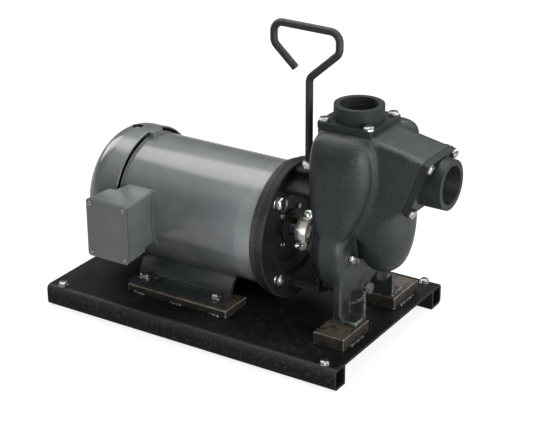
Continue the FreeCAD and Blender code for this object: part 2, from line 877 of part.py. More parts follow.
def make_conduit_box():
    front = -box_face_y
    tub_back = front + box_tub_depth
    saddle = -math.sqrt(shell_r ** 2 - box_sides(-shell_r)[3] ** 2)
    neck_trim = (box_step_side, box_step_low)
    along = lambda middle, way: abs(way.y) > 0.9
    tub = rounded(box_body(tub_back, front), box_corner_r, along)
    neck = rounded(box_body(saddle + 4, tub_back - 1, 0.0, *neck_trim), box_corner_r, along)
    lugs = [rod(5.2, spot, spot + V(0, 16, 0)) for spot in box_screw_spots(front)]
    lugs = Part.makeCompound(lugs).common(box_body(tub_back, front, box_wall / 2))
    outer = tub.fuse([neck, box_lip_ring(-shell_r + 8)])
    inner = box_body(tub_back - box_wall, front - 1, box_wall)
    outer = outer.cut(inner).cut(box_body(saddle + 6, tub_back - box_wall - 1, box_wall, *neck_trim))
    outer = outer.fuse(lugs)
    drills = [rod(box_screw_d / 2, p + V(0, -1, 0), p + V(0, 14, 0)) for p in box_screw_spots(front)]
    drills.append(disc(shell_r + 0.02, box_mid_x - 60, box_mid_x + 60))
    drills.append(conduit_hole())
    body = cut_all(outer, drills)
    return max(body.Solids, key=lambda s: s.Volume)


def cover_plate(y0, y1, width, height):
    plate = block(box_mid_x - width / 2, box_mid_x + width / 2, y0, y1,
                  box_mid_z - height / 2, box_mid_z + height / 2)
    return rounded(plate, box_corner_r, lambda middle, way: abs(way.y) > 0.99)


def make_box_gasket():
    y = -box_face_y
    plate = cover_plate(y - box_gasket_t, y, box_cover_width - 1, box_height - 1)
    window = cover_plate(y - box_gasket_t, y, box_cover_width - 26, box_height - 26)
    plate = plate.cut(window)
    return cut_all(plate, [rod(box_screw_d / 2, p + V(0, -5, 0), p + V(0, 5, 0)) for p in box_screw_spots(y)])


def make_box_cover():
    y = -box_face_y - box_gasket_t
    plate = cover_plate(y - box_cover_t, y, box_cover_width, box_height)
    return cut_all(plate, [rod(box_screw_d / 2, p + V(0, -5, 0), p + V(0, 5, 0)) for p in box_screw_spots(y)])


def make_box_screws():
    made = []
    y = -box_face_y - box_gasket_t - box_cover_t
    for spot in box_screw_spots(y):
        head = Part.makeCone(4.0, 2.4, 2.6)
        shank = Part.makeCylinder(box_screw_d / 2 - 0.1, 12, V(0, 0, -12))
        made.append(aimed(head.fuse(shank).removeSplitter(), spot, V(0, -1, 0)))
    return made


# Adapter bracket

def wedge_x(angle, half_angle, reach, x0, x1):
    a, b = (math.radians(angle + s * half_angle) for s in (-1, 1))
    points = [(0, 0), (reach * math.cos(a), reach * math.sin(a)),
              (1.5 * reach * math.cos(math.radians(angle)), 1.5 * reach * math.sin(math.radians(angle))),
              (reach * math.cos(b), reach * math.sin(b))]
    return plate_yz(points, x0, x1)


def plate_bolt_spots(x):
    return around(plate_bolts, plate_bolt_circle / 2, 0, x)


def casing_bolt_spots(x):
    spots = []
    for middle in (90, 270):
        for step in (-casing_bolt_spread, casing_bolt_spread):
            a = math.radians(middle + step)
            spots.append(V(x, casing_bolt_r * math.cos(a), casing_bolt_r * math.sin(a)))
    return spots


def make_bracket():
    t = bracket_face_t
    rim = spigot_depth - 0.35
    face = ring(bracket_face_r, bracket_window_r, 0, t)
    face = face.fuse(ring(bracket_face_r, spigot_r + spigot_clearance, -rim, 0))
    barrel = ring(bracket_barrel_r, bracket_barrel_r - bracket_barrel_wall, t - 1, joint_x - joint_flange_t + 1)
    flare = turned([(t - 0.5, bracket_window_r + 1), (t - 0.5, bracket_barrel_r + 7), (t + 3, bracket_barrel_r + 2),
                    (t + 9, bracket_barrel_r), (t + 9, bracket_window_r + 6)])
    arms = barrel.fuse(flare)
    reach = 2 * bracket_barrel_r
    sectors = [wedge_x(angle, bracket_arm_half, reach, t - 1, joint_x) for angle in (90, 270)]
    sectors = sectors[0].fuse(sectors[1])
    arms = arms.common(sectors)
    joint = ring(joint_flange_r, joint_bore_r, joint_x - joint_flange_t, joint_x)
    web = ring(bracket_barrel_r, joint_bore_r, joint_x - joint_flange_t, joint_x).common(sectors)
    body = face.fuse([arms, joint, web])
    body = body.fuse(handle_boss())
    drills = [disc(face_bolt_d / 2 + face_hole_clearance, -1, t + 1, p.y, p.z) for p in face_bolt_spots(0)]
    drills += [disc(bracket_spot_r, t - bracket_spot_depth, t + 8, p.y, p.z) for p in face_bolt_spots(0)]
    x0 = joint_x - joint_flange_t - 1
    drills += [disc(plate_bolt_d / 2 + 0.4, x0, joint_x + 1, p.y, p.z) for p in plate_bolt_spots(0)]
    drills += [disc(casing_bolt_d / 2 + 0.4, x0, joint_x + 1, p.y, p.z) for p in casing_bolt_spots(0)]
    drills.append(Part.makeCylinder(rod_d / 2 + running_clearance, rod_thread_depth + 1,
                                    V(boss_x, 0, boss_top_z - rod_thread_depth)))
    return cut_all(body, drills).removeSplitter()


def handle_boss():
    """Stepped pad on the top arm that takes the handle's threaded end."""
    low = math.sqrt((bracket_barrel_r - 3) ** 2 - (boss_width / 2) ** 2)
    cap = block(boss_x - boss_length / 2, boss_x + boss_length / 2, -boss_width / 2, boss_width / 2,
                boss_top_z - 7, boss_top_z)
    cap = rounded(cap, 4.0, lambda middle, way: abs(way.z) > 0.99)
    stem = block(boss_x - boss_length / 2 + 5, boss_x + boss_length / 2 - 5, -boss_width / 2 + 3,
                 boss_width / 2 - 3, low, boss_top_z - 6)
    return cap.fuse(stem)


def make_face_bolts():
    made = []
    seat_x = bracket_face_t - bracket_spot_depth
    for spot in face_bolt_spots(seat_x):
        made += bolt(face_bolt_d, seat_x + 11, spot, V(1, 0, 0), [(12.0, 2.2), (9.8, 3.4)])
    return made


# Lifting handle

def handle_corners():
    base = V(boss_x, 0, boss_top_z - rod_thread_depth + 0.5)
    return [base] + [V(boss_x + x, 0, boss_top_z + z) for x, z in handle_points]


def bent_path(corners, bend_r):
    """Straight runs joined by tangent arcs."""
    edges = []
    start = corners[0]
    for k in range(1, len(corners) - 1):
        before = (corners[k - 1] - corners[k]).normalize()
        after = (corners[k + 1] - corners[k]).normalize()
        half = before.getAngle(after) / 2
        back = bend_r / math.tan(half)
        a = corners[k] + before * back
        b = corners[k] + after * back
        centre = corners[k] + (before + after).normalize() * (bend_r / math.sin(half))
        middle = centre + (corners[k] - centre).normalize() * bend_r
        edges.append(Part.makeLine(start, a))
        edges.append(Part.Arc(a, middle, b).toShape())
        start = b
    edges.append(Part.makeLine(start, corners[-1]))
    return Part.Wire(edges)


def make_handle():
    path = bent_path(handle_corners(), handle_bend_r)
    start = handle_corners()[0]
    circle = Part.Wire(Part.makeCircle(rod_d / 2, start, V(0, 0, 1)))
    return path.makePipeShell([circle], True, False)


def make_handle_nut():
    return nut(rod_d, nut_flats, nut_height, V(boss_x, 0, boss_top_z), V(0, 0, 1))


# Pump shaft and clamp

def make_pump_shaft():
    body = disc(stub_r, stub_start_x, stub_end_x).fuse(disc(pump_shaft_r, stub_end_x - 1, impeller_x + 9))
    bore = disc(shaft_r + 0.02, stub_start_x - 1, shaft_extension + 0.5)
    slot = block(stub_start_x - 1, clamp_x + clamp_width / 2 + 6, -1.5, 1.5, 0, stub_r + 2)
    screw = disc(impeller_screw_d / 2, impeller_x - 10, impeller_x + 20)
    return cut_all(body, [bore, slot, screw, key_space()]).removeSplitter()


def leaned(shapes):
    for shape in shapes:
        shape.rotate(V(0, 0, 0), V(1, 0, 0), -clamp_lean)
    return shapes


def make_clamp_halves():
    x0 = clamp_x - clamp_width / 2
    x1 = clamp_x + clamp_width / 2
    body = disc(stub_r + clamp_wall, x0, x1)
    reach = clamp_gap / 2 + clamp_ear_t
    tip = clamp_bolt_reach + clamp_ear_end
    for sign in (-1, 1):
        low, high = sorted((sign * (stub_r + 1), sign * tip))
        ear = block(x0, x1, -reach, reach, low, high)
        body = body.fuse(rounded(ear, clamp_ear_end, lambda m, w: abs(w.y) > 0.99 and abs(m.z) > tip - 0.01))
    tools = [disc(stub_r + clamp_fit, x0 - 1, x1 + 1),
             block(x0 - 1, x1 + 1, -clamp_gap / 2, clamp_gap / 2, -90, 90)]
    for sign in (-1, 1):
        z = sign * clamp_bolt_reach
        tools.append(rod(clamp_bolt_d / 2 + 0.3, V(clamp_x, -40, z), V(clamp_x, 40, z)))
        for side in (-1, 1):
            tools.append(rod(8.2, V(clamp_x, side * reach, z), V(clamp_x, side * 40, z)))
    return leaned(cut_all(body, tools).Solids)


def make_clamp_bolts():
    reach = clamp_gap / 2 + clamp_ear_t
    made = []
    for sign in (-1, 1):
        z = sign * clamp_bolt_reach
        side = V(0, -1, 0) if sign > 0 else V(0, 1, 0)
        made += bolt(clamp_bolt_d, 2 * reach + clamp_bolt_tail, V(clamp_x, side.y * reach, z), side)
        made.append(nut(clamp_bolt_d, 13.0, 6.5, V(clamp_x, -side.y * reach, z), side * -1))
    return leaned(made)


# Back plate, seal and impeller

def seat_face_x():
    return joint_x + back_hub_depth


def make_back_plate():
    x0 = joint_x
    x1 = joint_x + back_plate_t
    hub = seat_face_x()
    neck = x0 + back_counterbore_depth
    body = turned([
        (x0, back_counterbore_r), (x0, back_plate_r), (x1, back_plate_r), (x1, back_hub_r + 4), (x1 + 4, back_hub_r),
        (hub, back_hub_r - 2), (hub, seat_r), (hub - seat_t, seat_r), (hub - seat_t, seal_bore_r),
        (neck, seal_bore_r), (neck, back_counterbore_r),
    ])
    return cut_all(body, [disc(plate_bolt_d / 2, x0 - 1, x1 - 2, p.y, p.z) for p in plate_bolt_spots(0)])


def make_seal_seat():
    x1 = seat_face_x()
    return ring(seat_r - 0.01, seal_bore_r + 0.4, x1 - seat_t, x1)


def make_seal_head():
    x0 = seat_face_x() + running_clearance
    x1 = impeller_x - 0.01
    return turned([(x0, pump_shaft_r), (x0, seal_head_r), (x0 + 5, seal_head_r), (x0 + 5, seal_head_r - 2.5),
                   (x1 - 4, seal_head_r - 2.5), (x1 - 4, seal_head_r), (x1, seal_head_r), (x1, pump_shaft_r)])


def vane(start_angle):
    """One backward-curved vane: an arc strip from the hub to the rim."""
    steps = 5
    inner, outer = [], []
    r0 = impeller_hub_r - 1
    for k in range(steps):
        share = k / (steps - 1)
        r = r0 + (impeller_r - r0) * share
        angle = math.radians(start_angle - vane_wrap * share ** 0.8)
        half = vane_t / 2 / r
        inner.append(V(0, r * math.cos(angle - half), r * math.sin(angle - half)))
        outer.append(V(0, r * math.cos(angle + half), r * math.sin(angle + half)))
    sides = []
    for points in (inner, outer):
        curve = Part.BSplineCurve()
        curve.interpolate(points)
        sides.append(curve.toShape())
    ends = [Part.makeLine(inner[0], outer[0]), Part.makeLine(inner[-1], outer[-1])]
    wire = Part.Wire(Part.__sortEdges__(sides + ends))
    strip = Part.Face(wire).extrude(V(vane_height + 0.5, 0, 0))
    strip.translate(V(impeller_x + impeller_disc_t - 0.5, 0, 0))
    return strip


def make_impeller():
    x0 = impeller_x
    body = disc(impeller_r, x0, x0 + impeller_disc_t)
    body = body.fuse(disc(impeller_hub_r, x0, x0 + impeller_disc_t + vane_height - 1))
    for k in range(vane_count):
        body = body.fuse(vane(360.0 * k / vane_count))
    bore = disc(pump_shaft_r + 0.01, x0 - 1, x0 + 9)
    screw = disc(impeller_screw_d / 2 + 0.3, x0, x0 + 30)
    return cut_all(body, [bore, screw, ring(impeller_r + 20, impeller_r, x0 - 1, x0 + 30)]).removeSplitter()


def make_impeller_screw():
    seat = V(impeller_x + impeller_disc_t + vane_height - 1, 0, 0)
    return bolt(impeller_screw_d, 20.0, seat, V(1, 0, 0), [(9.0, 1.6)])


def wear_plate_x():
    return impeller_x + impeller_disc_t + vane_height + impeller_front_gap


def make_wear_plate():
    x0 = wear_plate_x()
    return ring(volute_cavity_r - seat_gap, eye_r, x0, x0 + wear_plate_t)


# Pump casing

def lobe_plan(z, x, half_length, half_width):
    """Closed smooth plan of both priming lobes at one height."""
    far = [(x + u * half_length, v * half_width) for u, v in lobe_far]
    near = [(x + u * half_length, -v * half_width) for u, v in reversed(lobe_near)]
    curve = Part.BSplineCurve()
    curve.interpolate([V(px, py, z) for px, py in far + near], PeriodicFlag=True)
    return Part.Wire(curve.toShape())


def lobes(shrink=0.0, first=0, last=None):
    sections = lobe_sections[first:last]
    return Part.makeLoft([lobe_plan(z, x, a - shrink, b - shrink) for z, x, a, b in sections], True, False)


def tilt():
    return math.radians(suction_tilt)


def suction_point(u, w, y=0.0):
    """Point on the tilted suction flange: u up the slope, w outwards, from its middle."""
    return V(suction_mid_x + u * math.sin(tilt()) + w * math.cos(tilt()), y,
             suction_mid_z + u * math.cos(tilt()) - w * math.sin(tilt()))


def suction_axis():
    return V(math.cos(tilt()), 0, -math.sin(tilt()))


def slab(w0, w1, half_u, half_y, rounding=0.0):
    """Square plate lying on the tilted suction face."""
    points = [suction_point(u, w0, y) for u, y in
              ((-half_u, -half_y), (half_u, -half_y), (half_u, half_y), (-half_u, half_y))]
    plate = Part.Face(Part.makePolygon(points + points[:1])).extrude(suction_axis() * (w1 - w0))
    if rounding:
        plate = rounded(plate, rounding, lambda m, way: abs(way.dot(suction_axis())) > 0.99)
    return plate


def suction_bolt_spots(w):
    rise = suction_bolt_rise / 2
    half = port_bolt_pitch / 2
    return [suction_point(su * rise, w, sy * half) for su in (-1, 1) for sy in (-1, 1)]


def discharge_bolt_spots(z):
    half = port_bolt_pitch / 2
    return [V(discharge_x + sx * half, sy * half, z) for sx in (-1, 1) for sy in (-1, 1)]


def top_slab(z0, z1, rounding=6.0):
    half = port_flange / 2
    plate = block(discharge_x - half, discharge_x + half, -half, half, z0, z1)
    return rounded(plate, rounding, lambda m, way: abs(way.z) > 0.99)


def casing_top_z():
    return discharge_flange_z - port_flange_t - port_gasket_t


def casing_face_w():
    return -port_flange_t - port_gasket_t


def make_neck():
    """Flat-sided passage from the discharge neck to the tilted suction face."""
    half = port_flange / 2
    low = suction_point(-half + 3, casing_face_w() - 4)
    back = discharge_x - 10
    outline = [(back, neck_top_start[1]), neck_top_start, neck_top_end, (low.x, low.z), (chin_x, neck_floor_z),
               (back, neck_floor_z)]
    body = plate_xz(outline, -neck_half_width, neck_half_width)
    slope = lambda m, way: abs(m.y) > neck_half_width - 0.1 and m.x > neck_top_start[0] and m.z > 180
    return rounded(body, neck_round, slope)


def make_chin(shrink=0.0):
    """Round suction well that hangs below the neck, its bottom a squared dome."""
    r = chin_r - shrink
    bottom = chin_bottom_z + shrink
    power = 1.0 / chin_squareness
    count = 7
    points = []
    for k in range(count):
        a = math.pi / 2 * k / (count - 1)
        drop = math.sin(a) ** (2 * power)
        out = math.cos(a) ** (2 * power) if k < count - 1 else 0.0
        points.append(V(chin_x + r * out, 0, chin_top_z - (chin_top_z - bottom) * drop))
    dome = Part.BSplineCurve()
    dome.interpolate(Points=points, InitialTangent=V(0, 0, -1), FinalTangent=V(-1, 0, 0))
    top = chin_top_z + 45
    edges = [
        Part.makeLine(V(chin_x, 0, bottom), V(chin_x, 0, top)),
        Part.makeLine(V(chin_x, 0, top), V(chin_x + r, 0, top)),
        Part.makeLine(V(chin_x + r, 0, top), V(chin_x + r, 0, chin_top_z)),
        dome.toShape(),
    ]
    return Part.Face(Part.Wire(edges)).revolve(V(chin_x, 0, 0), V(0, 0, 1), 360)


def volute_body():
    r = volute_r
    x0 = joint_x
    xb = volute_back_x
    x1 = volute_front_x
    q = volute_round
    low = casing_back_r
    flare = Part.BSplineCurve()
    knots = [V(x0, 0, low)] + [V(x, 0, fr) for x, fr in volute_flare] + [V(xb, 0, r)]
    flare.interpolate(Points=knots, InitialTangent=V(1, 0, 0), FinalTangent=V(1, 0, 0))
    edges = [
        Part.makeLine(V(x0, 0, 0), V(x0, 0, low)),
        flare.toShape(),
        Part.makeLine(V(xb, 0, r), V(x1 - q, 0, r)),
        Part.Arc(V(x1 - q, 0, r), V(x1 - 0.2929 * q, 0, r - 0.2929 * q), V(x1, 0, r - q)).toShape(),
        Part.makeLine(V(x1, 0, r - q), V(x1, 0, 0)),
        Part.makeLine(V(x1, 0, 0), V(x0, 0, 0)),
    ]
    return Part.Face(Part.Wire(edges)).revolve(V(0, 0, 0), V(1, 0, 0), 360)


def pump_foot(side):
    """Foot plate with an upright web and a scooped gusset under the casing."""
    under = skid_top + block_thickness
    top = under + foot_plate_t
    y0, y1 = sorted((foot_shift_y + side * foot_inner_y, foot_shift_y + side * foot_outer_y))
    x1 = foot_x + foot_length
    plate = block(foot_x, x1, y0, y1, under, top)
    web = block(foot_x, foot_x + foot_web_t, y0, y1, top - 1, -30)
    near = foot_shift_y + side * foot_inner_y
    g0, g1 = sorted((near, near + side * foot_gusset_t))
    gusset = block(foot_x + 2, x1, g0, g1, top - 1, -36)
    scoop = Part.makeCylinder(41.0, 40, V(foot_x + 4, g0 - 5, -43.0), V(0, 1, 0))
    return [plate, web, gusset.cut(scoop)]


def casing_outside():
    body = lobes()
    body = body.cut(block(0, partition_x + 20, -casing_crown_y, casing_crown_y, casing_crown_z, casing_crown_z + 40))
    body = body.fuse(volute_body())
    body = body.fuse(make_chin())
    body = body.fuse(make_neck())
    half = discharge_neck / 2
    top = casing_top_z()
    neck = block(discharge_x - half, discharge_x + half, -half, half, top - 50, top - 4)
    body = body.fuse(rounded(neck, 9.0, lambda m, way: abs(way.z) > 0.99))
    body = body.fuse(top_slab(top - 8, top))
    half = port_flange / 2
    body = body.fuse(slab(casing_face_w() - 7, casing_face_w(), half, half, 6.0))
    body = body.cut(disc(casing_step_r, 40, joint_x))
    for side in (-1, 1):
        body = body.fuse(pump_foot(side))
    bosses = [disc(plug_boss_r, volute_front_x - 8, volute_front_x + 4, prime_plug_y, prime_plug_z),
              disc(plug_boss_r, volute_front_x - 12, volute_front_x + 3, 0, drain_plug_z)]
    bosses += [disc(10, joint_x, joint_x + 24, p.y, p.z) for p in casing_bolt_spots(0)]
    return body.fuse(bosses)


def flap_chamber():
    """Space behind the tilted suction face in which the check flap swings."""
    face = casing_face_w() + 1
    low = suction_point(-33, face)
    top = suction_point(31.8, face)
    back = suction_point(31.8, face - 15.5)
    points = [(partition_x, low.z - 8), (partition_x, 184), (222, 171), (back.x, back.z), (top.x, top.z),
              (low.x, low.z)]
    reach = flap_r + 1
    room = plate_xz(points, -reach, reach)
    corners = [suction_point(u, w, -flap_pocket_half) for u, w in
               ((28, face), (41.5, face), (41.5, face - 19), (28, face - 19))]
    pocket = Part.Face(Part.makePolygon(corners + corners[:1])).extrude(V(0, 2 * flap_pocket_half, 0))
    return room.fuse(pocket)


def casing_cavities():
    chamber = lobes(casing_wall, 2, 9)
    chamber = chamber.cut(block(0, 400, -casing_crown_y - casing_wall, casing_crown_y + casing_wall,
                                casing_crown_z - casing_wall, 400))
    chamber = chamber.cut(block(partition_x - 7, 400, -neck_half_width, neck_half_width, -100, 400))
    chamber = chamber.cut(volute_body())
    riser = Part.makeCylinder(port_throat_r, 150, V(discharge_x, 0, casing_top_z() - 149))
    riser = riser.common(block(0, partition_x - 7, -100, 100, -100, 400))
    well = make_chin(casing_wall).common(block(partition_x, 400, -100, 100, -100, 400))
    x1 = wear_plate_x() + wear_plate_t
    volute = disc(volute_cavity_r, volute_cavity_x, x1)
    mouth = disc(casing_mouth_r, joint_x - 1, x1)
    eye = disc(eye_r - 2, x1 - 1, partition_x + 10)
    return [chamber, riser, well, volute, mouth, eye, flap_chamber()]


def make_casing():
    body = casing_outside()
    for cavity in casing_cavities():
        body = body.cut(cavity)
    drills = [disc(casing_bolt_d / 2, joint_x - 1, joint_x + 16, p.y, p.z) for p in casing_bolt_spots(0)]
    r = port_bolt_d / 2
    drills += [Part.makeCylinder(r, 13, V(p.x, p.y, p.z - 12.5)) for p in discharge_bolt_spots(casing_top_z())]
    for p in suction_bolt_spots(casing_face_w()):
        drills.append(rod(r, p - suction_axis() * 12.5, p + suction_axis()))
    drills.append(disc(plug_d / 2, volute_front_x - 10, volute_front_x + 6, prime_plug_y, prime_plug_z))
    drills.append(disc(plug_d / 2, volute_front_x - 10, volute_front_x + 6, 0, drain_plug_z))
    drills += flap_pin_pockets()
    body = cut_all(body, drills)
    return max(body.Solids, key=lambda s: s.Volume)


def make_plate_bolts():
    made = []
    seat_x = joint_x - joint_flange_t
    for spot in plate_bolt_spots(seat_x):
        made += bolt(plate_bolt_d, joint_flange_t + 6, spot, V(-1, 0, 0))
    return made


def make_casing_bolts():
    made = []
    seat_x = joint_x - joint_flange_t
    for spot in casing_bolt_spots(seat_x):
        made += bolt(casing_bolt_d, joint_flange_t + 14, spot, V(-1, 0, 0))
    return made


def square_gasket_top():
    z1 = discharge_flange_z - port_flange_t
    plate = top_slab(z1 - port_gasket_t, z1)
    drills = [Part.makeCylinder(port_bolt_d / 2 + 0.3, 10, V(p.x, p.y, p.z - 5)) for p in discharge_bolt_spots(z1)]
    drills.append(Part.makeCylinder(port_throat_r + 0.3, 20, V(discharge_x, 0, z1 - 10)))
    return cut_all(plate, drills)


def square_gasket_side():
    half = port_flange / 2
    plate = slab(-port_flange_t - port_gasket_t, -port_flange_t, half, half, 6.0)
    drills = [rod(port_bolt_d / 2 + 0.3, p - suction_axis() * 5, p + suction_axis() * 5)
              for p in suction_bolt_spots(-port_flange_t)]
    middle = suction_point(0, -port_flange_t)
    drills.append(rod(port_throat_r + 1.4, middle - suction_axis() * 6, middle + suction_axis() * 6))
    return cut_all(plate, drills)


def make_discharge_flange():
    plate = top_slab(discharge_flange_z - port_flange_t, discharge_flange_z)
    collar = Part.makeCylinder(port_r, discharge_top_z - discharge_flange_z + 1,
                               V(discharge_x, 0, discharge_flange_z - 1))
    body = plate.fuse(collar)
    drills = [Part.makeCylinder(port_bolt_d / 2 + 0.3, 20, V(p.x, p.y, p.z - 12))
              for p in discharge_bolt_spots(discharge_flange_z)]
    drills.append(Part.makeCylinder(port_throat_r, 60, V(discharge_x, 0, discharge_top_z - 50)))
    drills.append(Part.makeCylinder(port_bore_r, 60, V(discharge_x, 0, discharge_top_z - port_thread_depth)))
    return cut_all(body, drills).removeSplitter()


def make_discharge_bolts():
    made = []
    for spot in discharge_bolt_spots(discharge_flange_z):
        made += bolt(port_bolt_d, port_flange_t + port_gasket_t + 11, spot, V(0, 0, 1))
    return made


def make_suction_flange():
    half = port_flange / 2
    plate = slab(-port_flange_t, 0, half, half, 6.0)
    start = suction_point(0, -port_flange_t / 2)
    collar = disc(port_r, start.x - 12, suction_end_x, 0, suction_z)
    behind = slab(-60, -port_flange_t, 90, 90)
    body = plate.fuse(collar.cut(behind))
    drills = [rod(port_bolt_d / 2 + 0.3, p - suction_axis() * 12, p + suction_axis() * 12) for p in suction_bolt_spots(0)]
    drills.append(disc(port_throat_r, start.x - 30, suction_end_x + 5, 0, suction_z))
    drills.append(disc(port_bore_r, suction_end_x - port_thread_depth, suction_end_x + 5, 0, suction_z))
    return cut_all(body, drills).removeSplitter()


def make_suction_bolts():
    made = []
    for spot in suction_bolt_spots(0):
        made += bolt(port_bolt_d, port_flange_t + port_gasket_t + 11, spot, suction_axis())
    return made


# Check valve

def flap_back_w():
    return casing_face_w() - flap_clearance


def flap_pin_point(y=0.0):
    return suction_point(flap_pin_u, casing_face_w() - flap_pin_depth, y)


def flap_pin_pockets():
    """Blind holes for the flap's pin in both walls of the pocket."""
    r = flap_pin_d / 2 + running_clearance
    a = flap_pocket_half
    return [rod(r, flap_pin_point(side * (a - 1)), flap_pin_point(side * (a + 6))) for side in (-1, 1)]


def make_flap_pin():
    half = flap_pocket_half + 5.5
    return rod(flap_pin_d / 2, flap_pin_point(-half), flap_pin_point(half))


def make_flap():
    w1 = flap_back_w()
    half = flap_arm_half
    middle = suction_point(0, w1)
    face = rod(flap_r, middle - suction_axis() * flap_t, middle)
    corners = ((0, -half), (flap_pin_u, -half), (flap_pin_u, half), (0, half))
    arm_points = [suction_point(u, w1 - flap_t, y) for u, y in corners]
    arm = Part.Face(Part.makePolygon(arm_points + arm_points[:1])).extrude(suction_axis() * flap_t)
    eye = rod(flap_pin_depth - 0.1, flap_pin_point(-half), flap_pin_point(half))
    body = face.fuse([arm, eye])
    pin_hole = rod(flap_pin_d / 2 + running_clearance, flap_pin_point(-half - 1), flap_pin_point(half + 1))
    return body.cut(pin_hole).removeSplitter()


def make_flap_weight():
    back = suction_point(0, flap_back_w() - flap_t)
    return rod(flap_weight_r, back - suction_axis() * flap_weight_t, back)


# Plugs

def plug(seat, direction, square):
    flats = plug_d * (0.8 if square else 1.3)
    head = hexagon(flats, 9.0)
    collar = Part.makeCylinder(plug_d * 0.62, 3.0)
    shank = Part.makeCylinder(plug_d / 2 - running_clearance, 8, V(0, 0, -8))
    return aimed(head.fuse([collar, shank]).removeSplitter(), seat, direction)


def make_prime_plug():
    return plug(V(volute_front_x + 4, prime_plug_y, prime_plug_z), V(1, 0, 0), True)


def make_drain_plug():
    return plug(V(volute_front_x + 3, 0, drain_plug_z), V(1, 0, 0), False)


os.makedirs("parts", exist_ok=True)

save("skid_base", make_skid(), False)
save("corner_screws", make_corner_screws(), False)
save("motor_foot_bars", make_shims())
save("pump_foot_blocks", make_blocks())
save("weld_beads", make_welds())
save("motor_feet", make_motor_feet())
save("motor_foot_bolts", make_foot_bolts())
save("motor_shell", make_shell())
save("drive_end_bell", make_drive_bell())
save("fan_end_bell", make_fan_bell())
save("stator_core", make_stator_core())
save("stator_windings", make_windings())
save("rotor_core", make_rotor_core())
save("motor_shaft", make_motor_shaft())
save("shaft_key", make_key())
save("bearing_outer_rings", bearing_rings("outer"))
save("bearing_inner_rings", bearing_rings("inner"))
save("bearing_ball_rings", bearing_rings("ball"))
save("bearing_spring_washer", make_bearing_spring())
save("bearing_cap", make_bearing_cap())
save("bearing_cap_screws", make_cap_screws())
save("shaft_slinger", make_slinger())
save("cooling_fan", make_fan())
save("fan_cover", make_fan_cover())
save("fan_cover_screws", make_cover_screws())
save("conduit_box", make_conduit_box())
save("conduit_box_gasket", make_box_gasket())
save("conduit_box_cover", make_box_cover())
save("conduit_cover_screws", make_box_screws())
save("adapter_bracket", make_bracket())
save("adapter_bolts", make_face_bolts())
save("lifting_handle", make_handle())
save("handle_nut", make_handle_nut())
save("pump_shaft", make_pump_shaft())
save("shaft_clamp_halves", make_clamp_halves())
save("shaft_clamp_bolts", make_clamp_bolts())
save("back_plate", make_back_plate())
save("seal_seat", make_seal_seat())
save("seal_head", make_seal_head())
save("impeller", make_impeller())
save("impeller_screw", make_impeller_screw())
save("wear_plate", make_wear_plate())
save("pump_casing", make_casing())
save("back_plate_bolts", make_plate_bolts())
save("casing_bolts", make_casing_bolts())
save("discharge_flange", make_discharge_flange())
save("discharge_gasket", square_gasket_top())
save("discharge_bolts", make_discharge_bolts())
save("suction_flange", make_suction_flange())
save("suction_gasket", square_gasket_side())
save("suction_bolts", make_suction_bolts())
save("flap_valve", make_flap())
save("flap_weight", make_flap_weight())
save("flap_pin", make_flap_pin())
save("prime_plug", make_prime_plug())
save("drain_plug", make_drain_plug())
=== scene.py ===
import bmesh
import bpy
import contextlib
import json
import math
from mathutils import Matrix, Vector

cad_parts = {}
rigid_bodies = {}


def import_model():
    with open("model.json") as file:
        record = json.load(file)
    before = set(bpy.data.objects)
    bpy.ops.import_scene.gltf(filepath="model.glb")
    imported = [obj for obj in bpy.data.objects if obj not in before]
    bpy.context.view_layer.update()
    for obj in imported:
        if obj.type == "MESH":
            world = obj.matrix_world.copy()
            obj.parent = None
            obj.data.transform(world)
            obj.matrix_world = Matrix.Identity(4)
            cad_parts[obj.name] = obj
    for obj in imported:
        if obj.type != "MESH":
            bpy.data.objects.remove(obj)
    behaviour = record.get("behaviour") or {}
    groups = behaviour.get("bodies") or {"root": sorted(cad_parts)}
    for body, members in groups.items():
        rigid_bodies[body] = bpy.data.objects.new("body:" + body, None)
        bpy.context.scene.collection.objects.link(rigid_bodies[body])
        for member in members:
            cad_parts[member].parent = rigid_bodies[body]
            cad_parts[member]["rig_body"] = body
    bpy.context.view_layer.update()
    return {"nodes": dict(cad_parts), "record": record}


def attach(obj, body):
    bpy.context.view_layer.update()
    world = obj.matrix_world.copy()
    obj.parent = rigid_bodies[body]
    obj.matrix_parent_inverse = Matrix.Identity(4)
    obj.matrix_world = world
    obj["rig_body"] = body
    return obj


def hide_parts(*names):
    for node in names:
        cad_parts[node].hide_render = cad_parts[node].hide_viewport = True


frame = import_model()
nodes = frame["nodes"]
scene = bpy.context.scene
print("frame loaded:", len(nodes), "nodes")

mm = 0.001
shaftOrigin = Vector((98.0, 0.0, 163.0))  # middle of the motor's mounting face, in mm
up = Vector((0, 0, 1))
towardsPump = Vector((1, 0, 0))
towardsMotor = Vector((-1, 0, 0))
suctionTilt = math.radians(20)
suctionWay = Vector((math.cos(suctionTilt), 0, -math.sin(suctionTilt)))
fourCorners = ((-1, -1), (-1, 1), (1, -1), (1, 1))


def at(x, y, z):  # shaft-frame mm to the row frame in metres
    return (shaftOrigin + Vector((x, y, z))) * mm


def around(x, radius, degrees):  # a place on a circle about the shaft, turned from its far side
    turn = math.radians(degrees)
    return at(x, radius * math.cos(turn), radius * math.sin(turn))


def fromTop(degrees):  # straight away from the shaft, turned from its top
    turn = math.radians(degrees)
    return Vector((0, -math.sin(turn), math.cos(turn)))


def bodyOf(nodeName):
    return nodes[nodeName]["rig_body"]


# Shader maths: a Signal is one output of a node, Wiring makes the nodes of one tree

